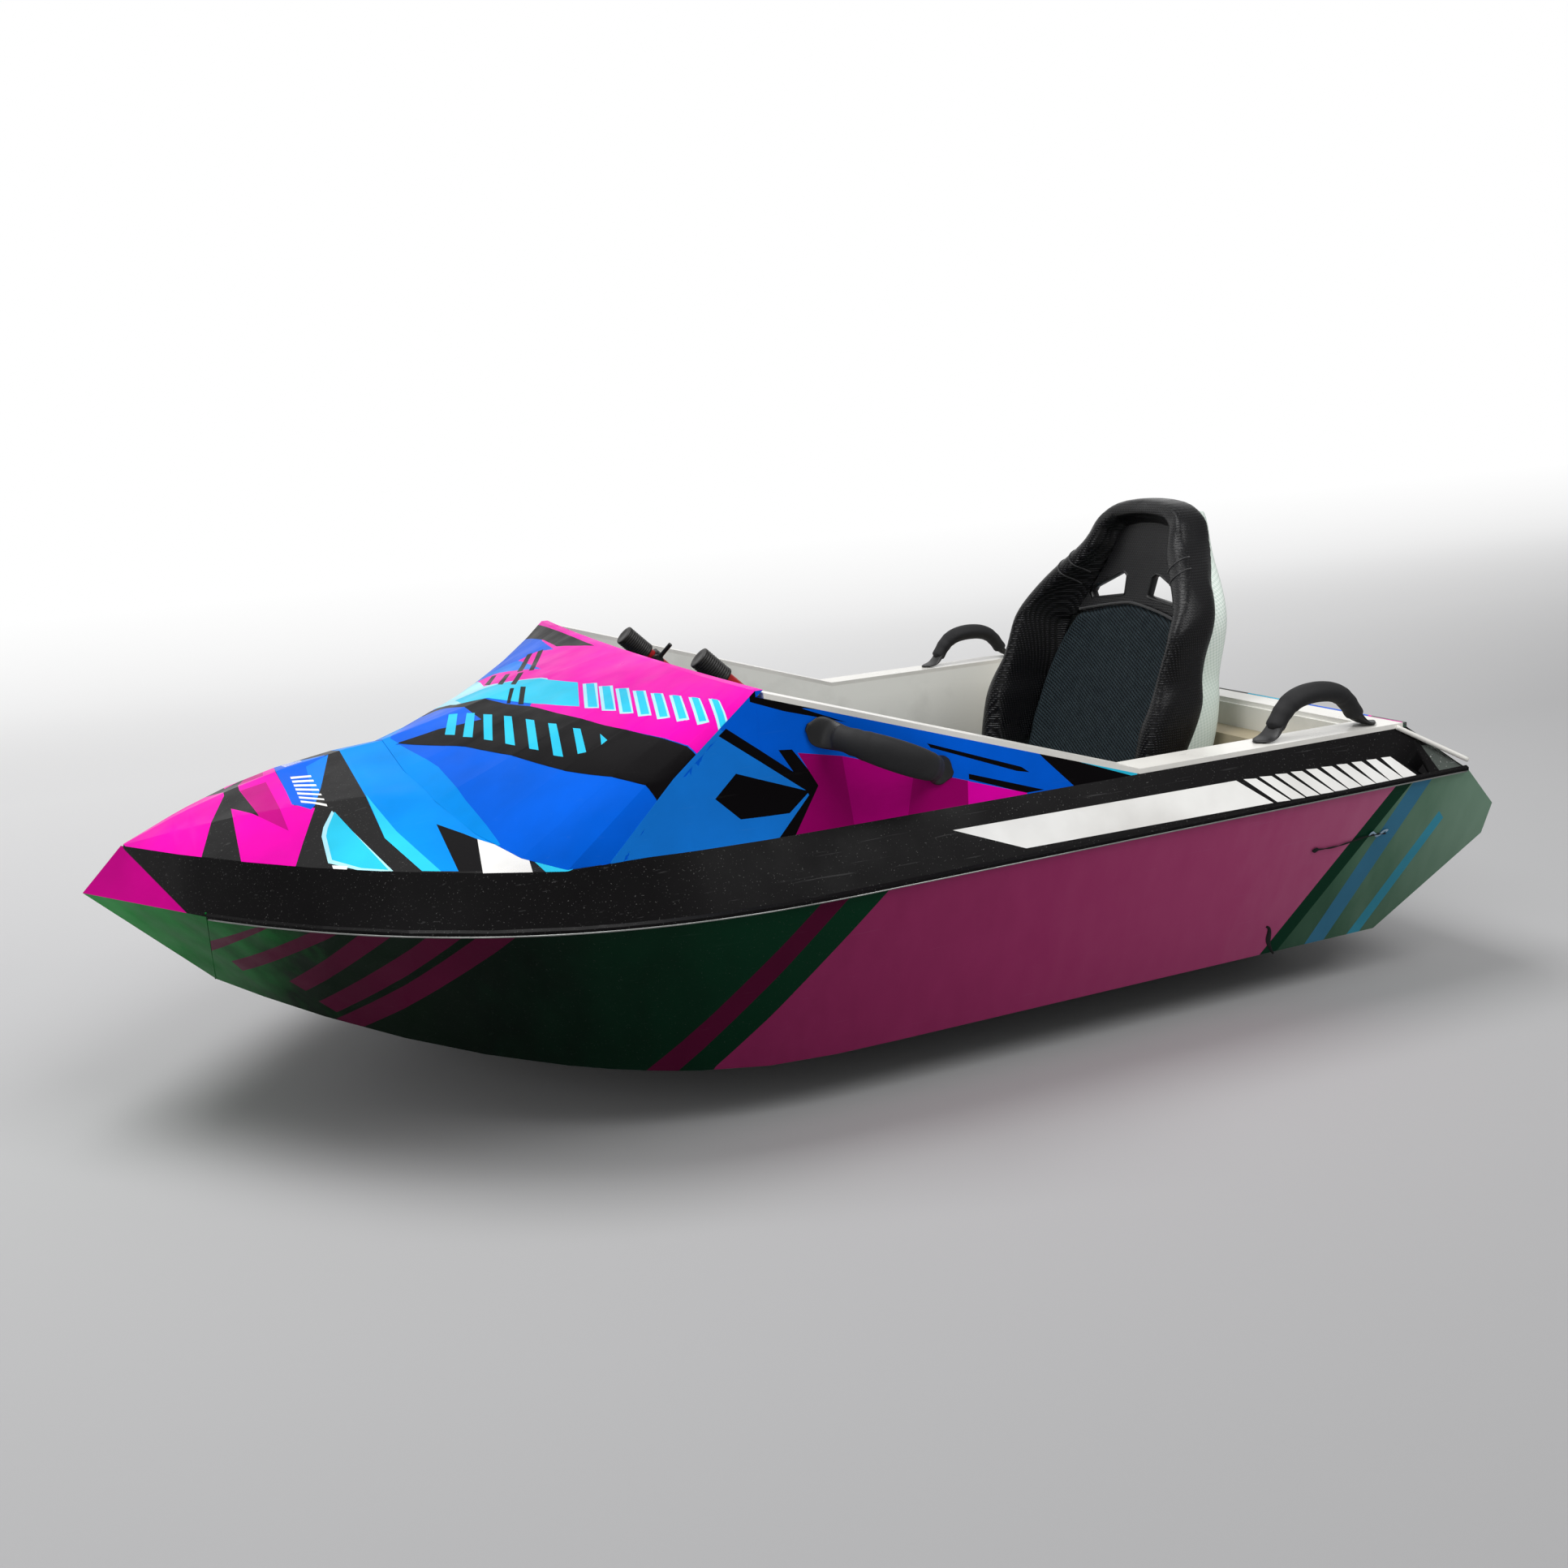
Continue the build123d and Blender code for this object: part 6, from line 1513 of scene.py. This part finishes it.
@dataclass(frozen=True)
class Damage:
    """Marks on the port quarter: a creased scratch with a dark nick, and a short black notch."""

    outward: tuple[float, float, float] = (0.0, 0.929, -0.369)

    def on_side(self, x: np.ndarray, z: np.ndarray) -> np.ndarray:
        """Points on the flat part of the side: it widens from 535 at 90 high to 645 at 367 high."""
        y = 535 + (z - 90) * 110 / 277
        return np.stack([x, y, z], -1)

    def mark(self, name: str, x: np.ndarray, z: np.ndarray, wide: np.ndarray, high: float, finish: Finish,
             lift: float = 0.4, sides: int = 8) -> None:
        """Lays one thin mark on the paint.

        Args:
            name: the piece's name.
            x: places of its line along the hull.
            z: heights of its line.
            wide: half-width at each place.
            high: half-thickness.
            finish: what it looks like.
            lift: height of its line over the panel.
            sides: points round its section.
        """
        outward = np.array(self.outward)
        path = self.on_side(x, z) + outward * lift
        place_tube(name, swept(path, wide, np.full(len(path), high), outward, sides), finish, "gelcoat_dark")

    def build(self) -> None:
        """Lays the crease, its nick, its scuffs and the notch as thin marks on the paint."""
        dark = Paint("mark_dark", (14, 12, 14), rough=0.6, coat=0.0)
        scuff = Paint("mark_scuffed", (150, 176, 196), rough=0.6, coat=0.0, mottle=0.4)
        x = np.linspace(-727, -872, 60)
        z = 280 + 3.0 * np.sin((x + 727) / 24) + np.linspace(0, 3, 60)
        self.mark("mark_crease", x, z, 1.0 + 0.9 * np.abs(np.sin((x + 720) / 9)), 0.5, dark, lift=0.5)
        x = np.linspace(-722, -736, 12)
        self.mark("mark_nick", x, np.full(12, 279.0), 5.0 * np.sin(np.linspace(0.15, 3.0, 12)), 0.9, dark,
                  sides=12)
        x = np.linspace(-836, -874, 24)
        z = 286 + 4 * np.sin(np.linspace(0, 9, 24))
        wide = 1.2 + 1.6 * np.abs(np.sin(np.linspace(0, 11, 24)))
        self.mark("mark_scuffs", x, z, wide, 0.4, scuff, lift=0.5)
        x, z = (spline_weights(5, 30) @ np.array([(-674, 146), (-684, 142), (-683, 122), (-692, 104),
                                                  (-707, 86)])).T
        self.mark("mark_notch", x, z, 3.6 - 1.6 * np.cos(np.linspace(0, 6.28, 30)), 1.0, dark, sides=10)


# Studio

@dataclass(frozen=True)
class Studio:
    """Camera, pale seamless floor and soft lamps."""

    eye: tuple[float, float, float] = (0.942, 2.513, 0.990)
    lens: float = 35.404
    yaw: float = -0.380
    pitch: float = 0.221
    roll: float = -0.075

    def camera(self) -> None:
        """Camera at the photograph's place: turned by yaw, tipped down by pitch and rolled."""
        ahead = Vector((np.cos(self.pitch) * np.sin(self.yaw), -np.cos(self.pitch) * np.cos(self.yaw),
                        -np.sin(self.pitch)))
        right = ahead.cross(Vector((0, 0, 1))).normalized()
        up = right.cross(ahead)
        across = right * np.cos(self.roll) + up * np.sin(self.roll)
        rise = up * np.cos(self.roll) - right * np.sin(self.roll)
        data = bpy.data.cameras.new("camera")
        data.lens, data.sensor_width = self.lens, 36.0
        data.clip_start, data.clip_end = 0.05, 100.0
        made = bpy.data.objects.new("camera", data)
        bpy.context.scene.collection.objects.link(made)
        turn = Matrix((across, rise, -ahead)).transposed().to_4x4()
        made.matrix_world = Matrix.Translation(self.eye) @ turn
        bpy.context.scene.camera = made

    def sweep(self) -> None:
        """Floor and backdrop: flat, then a quarter circle up to an upright wall behind the boat."""
        turn = np.linspace(0, np.pi / 2, 20)
        flat = np.linspace(9.0, -5.0, 12)
        y = np.concatenate([flat, -5.0 - 4.0 * np.sin(turn[1:]), [-9.0, -9.0]])
        z = np.concatenate([np.zeros(12), 4.0 - 4.0 * np.cos(turn[1:]), [8.0, 14.0]])
        x = np.linspace(-14, 14, 12)
        grid = np.stack(np.broadcast_arrays(x, y[:, None], z[:, None]), -1)
        mesh = skin(grid / MM)
        recipe = Recipe("studio_sweep")
        # painted shade on the floor: grey near the camera, lightening to pale further back
        shade = recipe.range(recipe.axis("Y"), 2.2, -3.0, 0.0, 1.0)
        grain = recipe.range(recipe.noise(2.0, 4.0), 0.3, 0.7, 0.9, 1.0)
        recipe.feed(Base_Color=recipe.mix(shade, linear((158, 158, 159)), linear((232, 232, 233))),
                    Roughness=grain)
        recipe.constants(Specular_IOR_Level=0.1)
        rays = recipe.node("ShaderNodeLightPath").outputs
        seen = recipe.maths("MAXIMUM", rays["Is Camera Ray"], recipe.maths("MAXIMUM", rays["Is Glossy Ray"],
                                                                           rays["Is Transmission Ray"]))
        far = recipe.range(recipe.axis("Y"), -1.0, -6.6, 0.0, 1.0)
        glow = recipe.node("ShaderNodeEmission", {"Color": (1.0, 1.0, 1.0, 1.0), "Strength": 1.0}).outputs[0]
        both_ways = recipe.node("ShaderNodeMixShader", {0: recipe.maths("MULTIPLY", seen, far),
                                                        1: recipe.shader.outputs[0], 2: glow})
        recipe.tree.links.new(both_ways.outputs[0], recipe.tree.nodes["Material Output"].inputs["Surface"])
        mesh.materials.append(recipe.made)
        floor = bpy.data.objects.new("studio_sweep", mesh)
        bpy.context.scene.collection.objects.link(floor)

    def lamp(self, name: str, at: Sequence[float], size: float, watts: float) -> None:
        """A square soft lamp aimed at the boat's middle."""
        data = bpy.data.lights.new(name, "AREA")
        data.size, data.energy = size, watts
        made = bpy.data.objects.new(name, data)
        made.location = at
        made.rotation_euler = (Vector((0, 0, 0.4)) - Vector(at)).to_track_quat("-Z", "Y").to_euler()
        bpy.context.scene.collection.objects.link(made)

    def build(self) -> None:
        """Sets the camera, the sweep, the lamps and the even sky light."""
        self.camera()
        self.sweep()
        world = bpy.data.worlds.new("studio_light")
        world.use_nodes = True
        ground = world.node_tree.nodes["Background"]
        ground.inputs[0].default_value = (1.0, 1.0, 1.0, 1.0)
        ground.inputs[1].default_value = 0.34
        bpy.context.scene.world = world
        bpy.context.scene.view_settings.view_transform = "Standard"
        self.lamp("key_lamp", (-1.6, 3.4, 4.6), 3.0, 122.0)
        self.lamp("top_lamp", (1.2, -0.2, 4.8), 2.6, 138.0)
        self.lamp("fill_lamp", (4.5, 3.0, 2.0), 3.0, 26.0)


def main() -> None:
    """Builds the studio and every sub-assembly in order."""
    logging.basicConfig(level=logging.INFO, format="%(message)s")
    Studio().build()
    dress_nodes()
    lay_livery()
    BucketSeat().build()
    for handle in handles():
        handle.build()
    SteeringYoke().build()
    HullLines().build()
    Damage().build()


if __name__ == "__main__":
    main()
